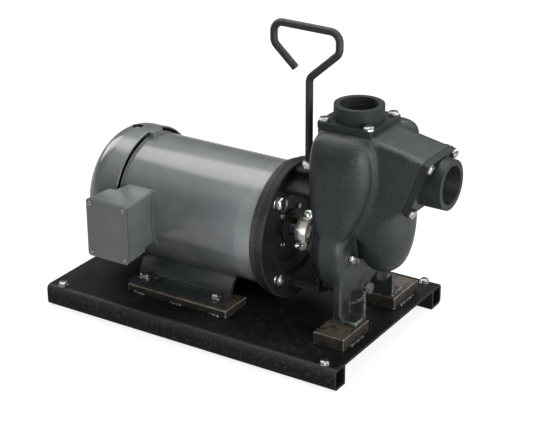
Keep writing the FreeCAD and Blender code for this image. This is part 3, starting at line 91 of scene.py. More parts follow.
class Signal:
    def __init__(self, wiring, socket):
        self.wiring = wiring
        self.socket = socket

    def maths(self, operation, other, flipped=False):
        first, second = (other, self) if flipped else (self, other)
        return self.wiring.node("Math", {"operation": operation}, {0: first, 1: second})

    def __add__(self, other):
        return self.maths("ADD", other)

    def __sub__(self, other):
        return self.maths("SUBTRACT", other)

    def __rsub__(self, other):
        return self.maths("SUBTRACT", other, True)

    def __mul__(self, other):
        return self.maths("MULTIPLY", other)

    def __truediv__(self, other):
        return self.maths("DIVIDE", other)

    def __rtruediv__(self, other):
        return self.maths("DIVIDE", other, True)

    def __pow__(self, other):
        return self.maths("POWER", other)

    __radd__ = __add__
    __rmul__ = __mul__

    def below(self, limit):
        return self.maths("LESS_THAN", limit)

    def step(self, low, high, start=0.0, end=1.0):  # smooth from start to end between two levels
        values = {"Value": self, "From Min": low, "From Max": high, "To Min": start, "To Max": end}
        return self.wiring.node("MapRange", {"interpolation_type": "SMOOTHSTEP"}, values)


class Wiring:
    def __init__(self, tree):
        self.tree = tree

    def node(self, kind, settings=None, values=None, output=0):
        made = self.tree.nodes.new("ShaderNode" + kind)
        for label, value in (settings or {}).items():
            setattr(made, label, value)
        for label, value in (values or {}).items():
            self.plug(value, made.inputs[label])
        return Signal(self, made.outputs[output])

    def plug(self, value, socket):
        if isinstance(value, Signal):
            self.tree.links.new(value.socket, socket)
        elif hasattr(value, "__len__") and len(value) == 3 and socket.type == "RGBA":
            socket.default_value = (*value, 1.0)
        else:
            socket.default_value = value

    def ray(self, kind):
        return self.node("LightPath", output="Is " + kind + " Ray")

    def part(self, vector, axis):
        return self.node("SeparateXYZ", {}, {0: vector}, "XYZ".index(axis))

    def blend(self, factor, first, second):  # between two numbers
        return self.node("Mix", {}, {"Factor": factor, "A": first, "B": second}, "Result")

    def mix(self, factor, first, second):  # between two colours, whose sockets share the numbers' names
        return self.node("Mix", {"data_type": "RGBA"}, {0: factor, 6: first, 7: second}, 2)


class Finish(Wiring):
    def __init__(self, name, **fixed):
        self.material = bpy.data.materials.new(name)
        self.material.use_nodes = True
        super().__init__(self.material.node_tree)
        self.shader = self.tree.nodes["Principled BSDF"]
        for label, value in fixed.items():
            self.shader.inputs[label.replace("_", " ")].default_value = value
        self.spot = self.node("TexCoord", output="Object")
        self.facing = self.node("NewGeometry", output="Normal")

    def stretched(self, scale):
        return self.node("Mapping", {}, {"Vector": self.spot, "Scale": scale})

    def noise(self, size, detail=3.0, rough=0.55, spot=None, warp=0.0):
        values = {"Vector": spot or self.spot, "Scale": 1 / (size * mm), "Detail": detail,
                  "Roughness": rough, "Distortion": warp}
        return self.node("TexNoise", {}, values, "Fac")

    def cells(self, size):
        return self.node("TexVoronoi", {}, {"Vector": self.spot, "Scale": 1 / (size * mm)}, "Distance")

    def feed(self, **links):
        for label, value in links.items():
            self.plug(value, self.shader.inputs[label.replace("_", " ")])
        return self

    def bump(self, height, depth, strength=1.0):
        made = self.node("Bump", {}, {"Height": height, "Distance": depth * mm, "Strength": strength})
        return self.feed(Normal=made)

    def upwards(self, low=0.5, high=0.9):
        return self.part(self.facing, "Z").step(low, high)

    def wornEdges(self, low, high):
        return self.node("NewGeometry", output="Pointiness").step(low, high)


# Finishes: colours as they are written to the shader, sizes of their patterns in mm

castLook = {"dark": (0.0115, 0.0160, 0.0175), "light": (0.0215, 0.0285, 0.0308),
            "sand": (0.056, 0.070, 0.074), "dust": (0.052, 0.046, 0.036), "edge": (0.20, 0.23, 0.235),
            "darkTowardsFloor": (0.007, 0.0075, 0.0078), "grain": 1.3, "swell": 7.0, "skin": 4.2}
fadeHeights = {"low": (0.055, 0.15), "feet": (0.080, 0.104)}  # metres over the floor, where the dust fades and where the paint stops getting darker towards the bottom


def castPaint(name, look=castLook, roughness=0.35, gloss=0.5):
    f = Finish(name, Specular_IOR_Level=gloss)
    grain = f.noise(look["grain"], 3, 0.6)
    swell = f.noise(look["swell"], 3)
    skin = f.noise(look.get("skin", 3.2), 3, 0.6)
    cloud = f.noise(60, 4, 0.6)
    colour = f.mix((cloud * 0.7 + skin * 0.3).step(0.3, 0.7), look["dark"], look["light"])
    if "sand" in look:  # pale tips of the sand-cast grain
        tips = f.noise(2.6, 2, 0.5).step(0.50, 0.66) * f.noise(34, 3).step(0.30, 0.62)
        colour = f.mix(tips * 0.5, colour, look["sand"])
    low = 1 - f.part(f.spot, "Z").step(*fadeHeights["low"])
    feet = 1 - f.part(f.spot, "Z").step(*fadeHeights["feet"])
    # the paint made darker towards the bottom
    if "darkTowardsFloor" in look:
        colour = f.mix(feet * 0.92, colour, look["darkTowardsFloor"])
    dusty = f.noise(9, 4, 0.7).step(0.34, 0.70) * (low * 0.8 + f.upwards() * 0.12) * (1 - feet * 0.75)
    colour = f.mix(dusty, colour, look["dust"])
    wornAndHighlit = f.wornEdges(0.515, 0.56) * f.noise(5, 3).step(0.35, 0.6) * (low * 0.5 + feet * 0.2 + 0.3)
    colour = f.mix(wornAndHighlit, colour, look["edge"])
    matt = grain * 0.16 + cloud * 0.16 + (roughness - 0.16) + dusty * 0.2 + feet * 0.25
    f.feed(Base_Color=colour, Roughness=matt)
    f.bump(grain * 1.1 + swell * 0.8 + skin * 0.8, 0.55, 0.9)
    return f.material


# pale paint for the gusset bead: a painted highlight along the scoop's edge
highlitBeadLook = {"dark": (0.085, 0.10, 0.105), "light": (0.15, 0.17, 0.175), "dust": (0.08, 0.07, 0.055),
              "edge": (0.22, 0.24, 0.25), "grain": 1.0, "swell": 4.0}
bellLook = {"dark": (0.15, 0.157, 0.162), "light": (0.19, 0.196, 0.2), "dust": (0.16, 0.15, 0.13),
            "edge": (0.26, 0.26, 0.26), "grain": 1.2, "swell": 6.0}
# the drive end bell drawn near black instead of the grey bell paint, as painted shade inside the bracket
recessShadeLook = {"dark": (0.0055, 0.0055, 0.0055), "light": (0.014, 0.013, 0.0115), "dust": (0.03, 0.023, 0.016),
              "edge": (0.12, 0.12, 0.12), "grain": 1.2, "swell": 8.0}
bracketLook = {"dark": (0.0045, 0.0047, 0.0047), "light": (0.0115, 0.0113, 0.0103),
               "dust": (0.024, 0.018, 0.013), "edge": (0.08, 0.076, 0.068), "grain": 1.2, "swell": 6.0}
rodLook = {"dark": (0.012, 0.0135, 0.0135), "light": (0.024, 0.027, 0.0265), "dust": (0.05, 0.045, 0.035),
           "edge": (0.07, 0.07, 0.065), "grain": 0.9, "swell": 5.0}
plugLook = {"dark": (0.010, 0.011, 0.012), "light": (0.024, 0.026, 0.028), "dust": (0.04, 0.035, 0.03),
            "edge": (0.2, 0.2, 0.2), "grain": 1.0, "swell": 5.0}

motorLook = {"dark": (0.126, 0.138, 0.142), "light": (0.152, 0.163, 0.168), "scuff": (0.24, 0.24, 0.235)}
shellLook = {**motorLook, "wrap": (0.172, 0.182, 0.187),
             "wrapSeam": (-48, 0, 72), "wrapTop": -40}  # the paler strip is narrower over the top
coverLook = {**motorLook, "cups": {"x": -305.0, "radius": 9.3, "rim": 110.6, "places": (0, 120, 240)},
             "grimeAndShade": (0.012, 0.012, 0.012)}
footLook = {"dark": (0.016, 0.021, 0.022), "light": (0.027, 0.033, 0.034), "scuff": (0.10, 0.10, 0.10)}


def motorPaint(name, look=motorLook, roughness=0.18):
    f = Finish(name, Specular_IOR_Level=0.75)
    cloud = f.noise(45, 3)
    peel = f.noise(2.2, 2, 0.4)
    fine = f.noise(0.5, 2)
    colour = f.mix(cloud.step(0.3, 0.7), look["dark"], look["light"])
    if "wrap" in look:  # the strip of shell next to the drive end took the paint paler
        seam = at(*look["wrapSeam"])
        x = f.part(f.spot, "X")
        z = f.part(f.spot, "Z")
        higher = z.step(seam.z - 0.0004, seam.z + 0.0004)
        edgeX = higher * ((look["wrapTop"] - look["wrapSeam"][0]) * mm) + seam.x
        wrap = (x - edgeX).step(-0.0005, 0.0005)
        colour = f.mix(wrap * 0.8, colour, look["wrap"])
    if "cups" in look:  # the wells that the cover's screws sit in are dark with dirt and painted shade
        cups = look["cups"]
        along = f.part(f.spot, "X") - at(cups["x"], 0, 0).x
        y = f.part(f.spot, "Y")
        z = f.part(f.spot, "Z") - shaftOrigin.z * mm
        for degrees in cups["places"]:
            c = math.cos(math.radians(degrees))
            s = math.sin(math.radians(degrees))
            across = y * c + z * s
            out = z * c - y * s
            depth = 1 - out.step((cups["rim"] - 1.6) * mm, (cups["rim"] - 0.7) * mm)
            inWell = ((along ** 2 + across ** 2) ** 0.5).below(cups["radius"] * mm) * depth
            colour = f.mix(inWell * out.step(0.05, 0.06), colour, look["grimeAndShade"])
    scuffs = f.noise(1.1, 3, 0.7, f.stretched((1, 0.25, 1))).step(0.70, 0.78) * f.noise(30, 2).step(0.5, 0.7)
    edge = f.wornEdges(0.54, 0.64) * f.noise(4, 3).step(0.4, 0.65)
    colour = f.mix(scuffs * 0.3 + edge * 0.35, colour, look["scuff"])
    f.feed(Base_Color=colour, Roughness=cloud * 0.10 + fine * 0.06 + (roughness - 0.07) + scuffs * 0.15)
    f.bump(peel * 0.8 + fine * 0.2, 0.035, 0.5)
    return f.material


skidLook = {"paint": (0.0036, 0.0040, 0.0042), "brown": (0.026, 0.019, 0.012), "bare": (0.13, 0.10, 0.07),
            "grey": (0.0095, 0.0105, 0.0110), "sheen": (0.042, 0.050, 0.053),
            "litFlank": (0.0095, 0.0115, 0.0120),
            "sideY": 0.1748, "middleX": 0.0, "endX": 0.2749, "foldZ": 0.033}  # the sheet's limits in metres


def skidPaint(name, look=skidLook):
    f = Finish(name, Specular_IOR_Level=0.12)
    broad = f.noise(70, 5, 0.62)
    blotch = f.noise(13, 5, 0.7, warp=0.6)
    grit = f.noise(1.0, 3, 0.65)
    top = f.upwards(0.6, 0.95)
    colour = f.mix(broad.step(0.35, 0.7), look["paint"], look["grey"])
    # the flanks drawn lighter than the top, as painted light
    colour = f.mix((1 - top) * 0.7, colour, look["litFlank"])
    rusty = blotch.step(0.47, 0.70) * (top * 0.85 + 0.12) * broad.step(0.32, 0.62)
    colour = f.mix(rusty, colour, look["brown"])
    specks = f.cells(3.2).step(0.0, 0.20)
    specks = (1 - specks) * f.noise(30, 3).step(0.46, 0.62) * (top * 0.75 + 0.1)
    side = f.part(f.spot, "Y").maths("ABSOLUTE", 0.0)
    ends = (f.part(f.spot, "X") - look["middleX"]).maths("ABSOLUTE", 0.0)
    bySide = side.step(look["sideY"] - 0.005, look["sideY"])
    byEnd = ends.step(look["endX"] - 0.003, look["endX"])
    edge = bySide.maths("MAXIMUM", byEnd) * f.noise(7, 4, 0.75).step(0.50, 0.66)
    # a painted sheen along the folded front edge
    folded = side.step(look["sideY"] - 0.010, look["sideY"] - 0.002)
    folded = folded * f.part(f.spot, "Z").step(look["foldZ"] - 0.014, look["foldZ"]) * (1 - broad * 0.6)
    colour = f.mix(folded * 0.9, colour, look["sheen"])
    colour = f.mix(edge * 0.4 + specks, colour, look["bare"])
    f.feed(Base_Color=colour, Roughness=0.30 + broad * 0.12 + rusty * 0.25 + grit * 0.10)
    f.bump(grit * 0.5 + blotch * 0.9 + rusty * 0.6, 0.16, 0.6)
    return f.material


scaleLook = {"scale": (0.070, 0.058, 0.046), "rust": (0.110, 0.062, 0.035), "bright": (0.42, 0.38, 0.32),
             "pale": (0.130, 0.108, 0.086), "black": (0.0035, 0.0035, 0.0035)}


def millScale(name, look=scaleLook):
    f = Finish(name)
    patches = f.noise(16, 5, 0.65, warp=0.8)
    fine = f.noise(2.2, 4, 0.7)
    drawn = f.noise(2.0, 3, 0.6, f.stretched((0.08, 1, 1)))
    colour = f.mix(drawn.step(0.35, 0.65) * 0.8, look["scale"], look["pale"])
    rusty = patches.step(0.50, 0.66) * fine.step(0.30, 0.65)
    colour = f.mix(rusty * 0.85, colour, look["rust"])
    painted = (1 - f.upwards(0.3, 0.7)) * ((patches * 0.7 + fine * 0.3).step(0.30, 0.62) * -0.3 + 1)
    painted = painted.maths("MAXIMUM", f.noise(20, 4, 0.65).step(0.52, 0.62) * 0.85)
    colour = f.mix(painted * 0.93, colour, look["black"])
    edge = f.wornEdges(0.52, 0.57) * f.noise(7, 3).step(0.30, 0.55)
    colour = f.mix(edge * 0.85, colour, look["bright"])
    bareShare = (1 - painted) * (1 - rusty)
    f.feed(Base_Color=colour, Metallic=bareShare * 0.45, Roughness=0.40 + rusty * 0.35 + fine * 0.12)
    f.bump(fine * 0.4 + patches * 0.7 + drawn * 0.4, 0.14, 0.6)
    return f.material


def brightMetal(name, base, shade, roughness, grain=0.9, depth=0.03, turned=False, metal=1.0):
    f = Finish(name, Metallic=metal)
    cloud = f.noise(7, 3)
    fine = f.noise(grain, 3, 0.65)
    lines = f.noise(0.35, 2, 0.5, f.stretched((1, 0.03, 0.03))) if turned else fine
    colour = f.mix(cloud.step(0.3, 0.72), base, shade)
    stain = f.noise(3.0, 4, 0.7).step(0.60, 0.74) * 0.35
    colour = f.mix(stain, colour, tuple(c * 0.45 for c in shade))
    f.feed(Base_Color=colour, Roughness=roughness - 0.06 + cloud * 0.12 + stain * 0.3)
    f.bump(fine * 0.5 + lines * 0.7, depth, 0.6)
    return f.material


def mouldedBlack(name, tone, roughness, grain=0.8):
    f = Finish(name)
    fine = f.noise(grain, 3)
    cloud = f.noise(14, 3)
    colour = f.mix(cloud.step(0.3, 0.7), tone, tuple(c * 1.9 + 0.004 for c in tone))
    f.feed(Base_Color=colour, Roughness=roughness - 0.08 + cloud * 0.16)
    f.bump(fine, 0.06, 0.5)
    return f.material


def laminatedSteel(name, sheet=1.0):
    f = Finish(name, Metallic=0.8)
    along = f.part(f.spot, "X") * (1 / (sheet * mm))
    plates = along.maths("PINGPONG", 0.5) * 2
    cloud = f.noise(9, 3)
    colour = f.mix(plates.step(0.0, 0.5), (0.07, 0.07, 0.075), (0.30, 0.30, 0.31))
    colour = f.mix(cloud.step(0.5, 0.8) * 0.3, colour, (0.16, 0.12, 0.09))
    f.feed(Base_Color=colour, Roughness=0.38 + cloud * 0.2)
    f.bump(plates, 0.1, 0.7)
    return f.material


def varnishedCopper(name):
    f = Finish(name, Metallic=0.35, Coat_Roughness=0.2)
    strands = f.noise(1.4, 2, 0.4, f.stretched((0.5, 1, 1)), 1.2)
    cloud = f.noise(18, 3)
    colour = f.mix(strands.step(0.35, 0.65), (0.20, 0.075, 0.025), (0.50, 0.22, 0.08))
    f.feed(Base_Color=colour, Roughness=0.30 + cloud * 0.2, Coat_Weight=cloud * 0.6)
    f.bump(strands, 0.5, 0.8)
    return f.material


def paleCeramic(name):
    f = Finish(name)
    cloud = f.noise(6, 3)
    f.feed(Base_Color=f.mix(cloud, (0.76, 0.73, 0.66), (0.84, 0.82, 0.77)), Roughness=0.12 + cloud * 0.1)
    f.bump(f.noise(0.6, 2), 0.01, 0.4)
    return f.material


portLook = {"outlet": (113, 0, 180), "inlet": (215, 0, 130.9), "boreR": 30.4, "pitch": 2.2,
            "outletRim": 229.3, "inletRim": 271, "root": (0.004, 0.004, 0.004), "deepShade": (0.003, 0.003, 0.003)}


def portIron(name, look=portLook):  # flange paint with pipe thread cut inside both bores
    f = Finish(name, Specular_IOR_Level=0.3)
    grain = f.noise(castLook["grain"], 3, 0.6)
    swell = f.noise(castLook["swell"], 3)
    cloud = f.noise(55, 4, 0.6)
    x = f.part(f.spot, "X")
    y = f.part(f.spot, "Y")
    z = f.part(f.spot, "Z")
    outlet = at(*look["outlet"])
    inlet = at(*look["inlet"])
    outletR = ((x - outlet.x) ** 2 + y ** 2) ** 0.5
    inletR = ((z - inlet.z) ** 2 + y ** 2) ** 0.5
    inOutlet = outletR.below(look["boreR"] * mm) * (1 - z.below(outlet.z))
    inInlet = inletR.below(look["boreR"] * mm) * (1 - x.below(inlet.x))
    pitch = look["pitch"] * mm
    turnsUp = (z / pitch).maths("PINGPONG", 0.5) * inOutlet
    turnsOut = (x / pitch).maths("PINGPONG", 0.5) * inInlet
    colour = f.mix(cloud.step(0.3, 0.7), castLook["dark"], castLook["light"])
    bare = (turnsUp + turnsOut) * 1.2
    inside = inOutlet + inInlet
    # the bores drawn near black between the thread crests, as painted shade
    colour = f.mix(inside * (1 - bare.step(0.10, 0.5)) * 0.85, colour, look["root"])
    # darker still further into each bore, as painted shade
    downOutlet = (at(0, 0, look["outletRim"]).z - z).step(0.004, 0.05) * inOutlet
    downInlet = (at(look["inletRim"], 0, 0).x - x).step(0.004, 0.05) * inInlet
    colour = f.mix((downOutlet + downInlet) * 0.9, colour, look["deepShade"])
    f.feed(Base_Color=colour, Roughness=grain * 0.16 + cloud * 0.16 + 0.32)
    f.bump(grain * 0.16 + swell * 0.26 + (turnsUp + turnsOut) * 2.0, 1.0, 0.75)
    return f.material


finishes = {
    "skid": skidPaint("blackSkidPaint"),
    "bar": millScale("millScaleBar"),
    "motor": motorPaint("greyMotorPaint"),
    "shell": motorPaint("greyShellPaint", shellLook),
    "cover": motorPaint("greyCoverPaint", coverLook),
    "foot": motorPaint("greyFootPaint", footLook, 0.24),
    "bell": castPaint("greyBellPaint", bellLook, 0.40),
    # near black as painted shade
    "recessShade": castPaint("recessShadePaint", recessShadeLook, 0.36, 0.22),
    "cast": castPaint("charcoalCastPaint"),
    "bracket": castPaint("blackBracketPaint", bracketLook, 0.42, 0.2),
    "port": portIron("charcoalPortPaint"),
    # the bead's pale paint is a painted highlight
    "wornAndHighlit": castPaint("highlitBeadCastPaint", highlitBeadLook, 0.36, 0.5),
    "rodPaint": castPaint("blackRodPaint", rodLook, 0.42),
    "zinc": brightMetal("brightZinc", (0.50, 0.495, 0.48), (0.30, 0.295, 0.285), 0.27),
    "shaft": brightMetal("groundShaftSteel", (0.62, 0.62, 0.62), (0.48, 0.47, 0.46), 0.20, turned=True),
    "clamp": brightMetal("tumbledClampSteel", (0.90, 0.88, 0.85), (0.66, 0.64, 0.60), 0.34, 1.1, 0.12,
                         metal=0.7),
    "iron": brightMetal("greyIron", (0.20, 0.19, 0.18), (0.12, 0.115, 0.11), 0.50, 1.3, 0.12),
    "plug": castPaint("darkIronPlug", plugLook, 0.38),
    "rubber": mouldedBlack("matteBlackRubber", (0.014, 0.014, 0.014), 0.62),
    "fan": mouldedBlack("mouldedFanBlack", (0.022, 0.022, 0.023), 0.45),
    "gasket": mouldedBlack("darkGasketSheet", (0.018, 0.017, 0.015), 0.78, 0.5),
    "weld": brightMetal("weldMetal", (0.16, 0.16, 0.155), (0.08, 0.075, 0.07), 0.40, 1.6, 0.25),
    "core": laminatedSteel("laminatedCore"),
    "winding": varnishedCopper("varnishedCopper"),
    "ceramic": paleCeramic("paleCeramic"),
}
finishOfSlot = {"skid_paint": "skid", "bare_steel": "bar", "motor_paint": "motor", "motor_casting": "bell",
                "lamination": "core", "winding": "winding", "bright_steel": "shaft", "clamp_steel": "clamp",
                "zinc": "zinc", "black_rubber": "rubber", "fan_plastic": "fan", "pump_paint": "cast",
                "cast_metal": "iron", "ceramic": "ceramic", "plug_dark": "plug"}
slotOfNode = {s["node"]: s["material_slot"] for s in frame["record"]["subparts"]}
for nodeName, node in nodes.items():
    node.data.materials.clear()
    node.data.materials.append(finishes[finishOfSlot[slotOfNode[nodeName]]])
print("finishes made:", len(finishes))


# Shaping helpers

def mergedCopy(nodeName, wholeFaces=True):
    bm = bmesh.new()
    bm.from_mesh(nodes[nodeName].data)
    bmesh.ops.remove_doubles(bm, verts=bm.verts, dist=2e-6)
    if wholeFaces:  # the triangles of a flat face joined again
        bmesh.ops.dissolve_limit(bm, angle_limit=math.radians(0.6), verts=bm.verts, edges=bm.edges,
                                 delimit=set())
    return bm


def finished(bm, name, finish, body, standsFor=(), crease=32, edgeWidth=0.0):
    mesh = bpy.data.meshes.new(name)
    for edge in bm.edges:
        if len(edge.link_faces) == 2:
            edge.smooth = edge.calc_face_angle(0) < math.radians(crease)
    for face in bm.faces:
        face.smooth = True
    bm.to_mesh(mesh)
    bm.free()
    mesh.materials.append(finishes[finish])
    piece = bpy.data.objects.new(name, mesh)
    scene.collection.objects.link(piece)
    if edgeWidth:
        bevel = piece.modifiers.new("softEdges", "BEVEL")
        bevel.width = edgeWidth * mm
        bevel.segments = 2
        bevel.limit_method = "ANGLE"
        bevel.angle_limit = math.radians(crease)
        bevel.harden_normals = True
    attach(piece, body)
    if standsFor:
        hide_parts(*standsFor)
    return piece


def dressed(nodeName, name, edgeWidth, finish=None):
    slot = slotOfNode[nodeName]
    finished(mergedCopy(nodeName), name, finish or finishOfSlot[slot], bodyOf(nodeName), (nodeName,),
             edgeWidth=edgeWidth)


def skinned(piece, voxel, rounds):  # a fine even skin, made part of the mesh
    remesh = piece.modifiers.new("castSkin", "REMESH")
    remesh.mode = "VOXEL"
    remesh.voxel_size = voxel * mm
    remesh.use_smooth_shade = True
    if rounds:
        smooth = piece.modifiers.new("softened", "SMOOTH")
        smooth.factor = 0.5
        smooth.iterations = rounds
    graph = bpy.context.evaluated_depsgraph_get()
    mesh = bpy.data.meshes.new_from_object(piece.evaluated_get(graph))
    piece.modifiers.clear()
    piece.data = mesh


def castCopy(nodeName, name, voxel, rounds, finish=None, shape=None):
    slot = slotOfNode[nodeName]
    finish = finish or finishOfSlot[slot]
    piece = finished(mergedCopy(nodeName, False), name, finish, bodyOf(nodeName), (nodeName,), 180)
    if shape:  # a first skin gives the mesh the points that the shaping needs
        skinned(piece, voxel, 0)
        bm = bmesh.new()
        bm.from_mesh(piece.data)
        shape(bm)
        bm.to_mesh(piece.data)
        bm.free()
    skinned(piece, voxel, rounds)
    piece.data.materials.clear()
    piece.data.materials.append(finishes[finish])


# Small turned and six-sided shapes, drawn in mm along +Z at the origin and then put in place

def placed(seat, way, turn=0.0):
    return (Matrix.Translation(seat) @ way.to_track_quat("Z", "Y").to_matrix().to_4x4()
            @ Matrix.Rotation(math.radians(turn), 4, "Z") @ Matrix.Scale(mm, 4))


def settled(bm, verts, place):
    faces = {f for v in verts for f in v.link_faces}
    bmesh.ops.remove_doubles(bm, verts=verts, dist=1e-4)
    verts = {v for f in faces if f.is_valid for v in f.verts}
    bmesh.ops.recalc_face_normals(bm, faces=[f for f in faces if f.is_valid])
    bmesh.ops.transform(bm, matrix=place, verts=list(verts))


def turnedShape(bm, place, profile, steps=32, closed=False):  # profile of radius and height
    line = [bm.verts.new((r, 0, z)) for r, z in profile]
    edges = [bm.edges.new(pair) for pair in zip(line, line[1:])]
    if closed:
        edges.append(bm.edges.new((line[-1], line[0])))
    before = set(bm.verts) - set(line)
    bmesh.ops.spin(bm, geom=line + edges, axis=(0, 0, 1), angle=math.tau, steps=steps, use_merge=True)
    settled(bm, [v for v in bm.verts if v not in before], place)


def hexHead(bm, place, flats, height, under=0.0, bothEnds=False):
    before = set(bm.verts)
    ring = bmesh.ops.create_circle(bm, cap_ends=True, segments=36, radius=1.0)["verts"]
    flat = flats / 2
    for vert in ring:
        turn = math.atan2(vert.co.y, vert.co.x) % math.radians(60) - math.radians(30)
        vert.co = vert.co.normalized() * (flat / math.cos(turn))
        vert.co.z = under + (max(0.0, vert.co.xy.length - flat * 0.98) * 0.55 if bothEnds else 0.0)
    face = ring[0].link_faces[0]
    for radius, rise in ((None, height), (flat * 0.93, height)):
        made = bmesh.ops.extrude_face_region(bm, geom=[face])["geom"]
        face = [g for g in made if isinstance(g, bmesh.types.BMFace)][0]
        for vert in face.verts:
            if radius is None:
                vert.co.z = under + rise - max(0.0, vert.co.xy.length - flat * 0.95) * 0.6
            else:
                vert.co = Vector((*(vert.co.xy.normalized() * radius), under + rise))
    settled(bm, [v for v in bm.verts if v not in before], place)


def washerRing(bm, place, outer, inner, thick, under=0.0):
    c = thick * 0.18
    top = under + thick
    turnedShape(bm, place, ((inner, under), (outer - c, under), (outer, under + c), (outer, top - c),
                            (outer - c, top), (inner, top)), 40, True)


def lockWasher(bm, place, outer, inner, thick, under=0.0, spring=0.5):
    before = set(bm.verts)
    corners = [bm.verts.new(c) for c in ((inner, 0, under), (outer, 0, under), (outer, 0, under + thick),
                                         (inner, 0, under + thick))]
    face = bm.faces.new(corners)
    bmesh.ops.spin(bm, geom=[face], axis=(0, 0, 1), angle=math.radians(350), steps=36,
                   dvec=(0, 0, spring / 36), use_merge=False)
    settled(bm, [v for v in bm.verts if v not in before], place)


def threadedRod(bm, place, radius, pitch, start, turns, depth=0.55):
    before = set(bm.verts)
    z = start
    line = [bm.verts.new(c) for c in ((radius - depth, 0, z), (radius, 0, z + pitch * 0.5),
                                      (radius - depth, 0, z + pitch))]
    edges = [bm.edges.new(pair) for pair in zip(line, line[1:])]
    bmesh.ops.spin(bm, geom=line + edges, axis=(0, 0, 1), angle=math.tau * turns, steps=20 * turns,
                   dvec=(0, 0, pitch / 20), use_merge=False)
    settled(bm, [v for v in bm.verts if v not in before], place)
    end = start + pitch * (turns + 0.4)
    core = radius - depth * 0.8
    turnedShape(bm, place, ((0, start), (core, start), (core, end), (0, end + 0.3)), 20)


def shank(bm, place, radius, start, end, chamfer=0.8):
    c = chamfer if end > start else -chamfer
    turnedShape(bm, place, ((0, start), (radius, start), (radius, end - c), (radius - chamfer, end),
                            (0, end)), 24)


def hexBolt(bm, place, d, length, washers=(), lock=None):
    lift = 0.0
    for outer, thick in washers:
        if lock == outer:
            lockWasher(bm, place, outer, d / 2 + 0.25, thick - 0.3, lift)
        else:
            washerRing(bm, place, outer, d / 2 + 0.25, thick, lift)
        lift += thick
    shank(bm, place, d / 2, lift + 0.5, -length)
    hexHead(bm, place, 1.5 * d, 0.65 * d, lift)


def lumpyBead(bm, start, end, radius, seed=0.0):  # weld laid in small overlapping ripples
    before = set(bm.verts)
    way = end - start
    length = way.length / mm
    count = max(8, int(length / 0.7))
    ring = bmesh.ops.create_circle(bm, cap_ends=True, segments=12, radius=radius * 0.35)["verts"]
    face = ring[0].link_faces[0]
    for k in range(1, count + 1):
        made = bmesh.ops.extrude_face_region(bm, geom=[face])["geom"]
        face = [g for g in made if isinstance(g, bmesh.types.BMFace)][0]
        share = k / count
        ends = min(1.0, 3.2 * math.sqrt(max(0.0, share * (1 - share))) + 0.3)
        fine = 0.10 * math.sin(share * length * 2.1 + seed)
        broad = 0.07 * math.sin(share * length * 0.55 + seed * 3)
        ripple = 1 + fine + broad
        for vert in face.verts:
            vert.co = Vector((*(vert.co.xy.normalized() * radius * ends * ripple), share * length))
    settled(bm, [v for v in bm.verts if v not in before], placed(start, way.normalized(), seed * 40))


# What the pump casting has beyond its solid: the near lobe's dome and rim, ribs and marks of the mould

lobeLook = {"middle": (112.0, 125.0), "reach": 54.5, "upper": (69.0, 3.5), "lower": (110.0, 1.35),
            "front": 84.5, "rim": 50.5, "neck": 46.2, "dome": 2.05, "rimWidth": 4.5, "fadeLow": (15.0, 45.0),
            "fromX": 60, "inside": -60.0, "wall": 9.0, "hollow": 0.35}
mouldMarks = {"disc": (129.0, -14.0, -36.0), "discR": 21.0, "discHeight": 1.4,
              "ribTop": (127.0, -44.0, 22.0), "ribEnds": ((129.0, -60.0, 0.0), (129.0, -41.0, 1.0)),
              "ribR": 2.6}


def easing(value, low, high):
    share = min(1.0, max(0.0, (value - low) / (high - low)))
    return share * share * (3 - 2 * share)


def lobeEdge(z, look=lobeLook):  # from the lobe's middle to its rim at one height
    height, power = look["upper"] if z > look["middle"][1] else look["lower"]
    rise = min(1.0, abs(z - look["middle"][1]) / height)
    return max(3.0, look["reach"] * (1 - rise ** power) ** (1 / power))


def lobeFront(x, z, look=lobeLook):  # how far the near lobe's front stands out at a point of its outline
    cx, cz = look["middle"]
    across = max(0.0, x - cx)
    if z > cz:
        height, power = look["upper"]
        share = ((across / look["reach"]) ** power + ((z - cz) / height) ** power) ** (1 / power)
        past = (share - 1) * look["reach"]
    else:
        share = across / lobeEdge(z)
        past = across - lobeEdge(z)
    if share >= 1:
        return look["rim"] if past < look["rimWidth"] else look["neck"]
    return look["rim"] + (look["front"] - look["rim"]) * (1 - share ** look["dome"]) ** (1 / look["dome"])


def shapeCasing(bm, look=lobeLook, marks=mouldMarks):
    bm.normal_update()
    cx, cz = look["middle"]
    heart = Vector((cx, look["inside"], cz))
    for vert in bm.verts:
        place = vert.co / mm - shaftOrigin
        if place.y > 1 - look["neck"] or place.x < look["fromX"] or place.z < look["fadeLow"][0]:
            continue
        fade = easing(place.z, *look["fadeLow"])
        front = lobeFront(place.x, place.z)
        if vert.normal.dot(place - heart) < 0:  # the chamber inside draws back with its wall
            shift = max(0.0, place.x - cx - look["hollow"] * lobeEdge(place.z))
            vert.co.x -= shift * fade * mm
            front = lobeFront(place.x - shift, place.z) - look["wall"]
        vert.co.y += max(0.0, -front - place.y) * fade * mm
    radius = marks["discR"]
    thick = marks["discHeight"]
    turnedShape(bm, placed(at(*marks["disc"]), towardsPump),
                ((0, -3), (radius, -3), (radius, thick - 0.6), (radius - 1.2, thick), (0, thick)), 48)
    for end in marks["ribEnds"]:
        lumpyBead(bm, at(*marks["ribTop"]), at(*end), marks["ribR"])


# Castings and sheet metal carried over from the solids

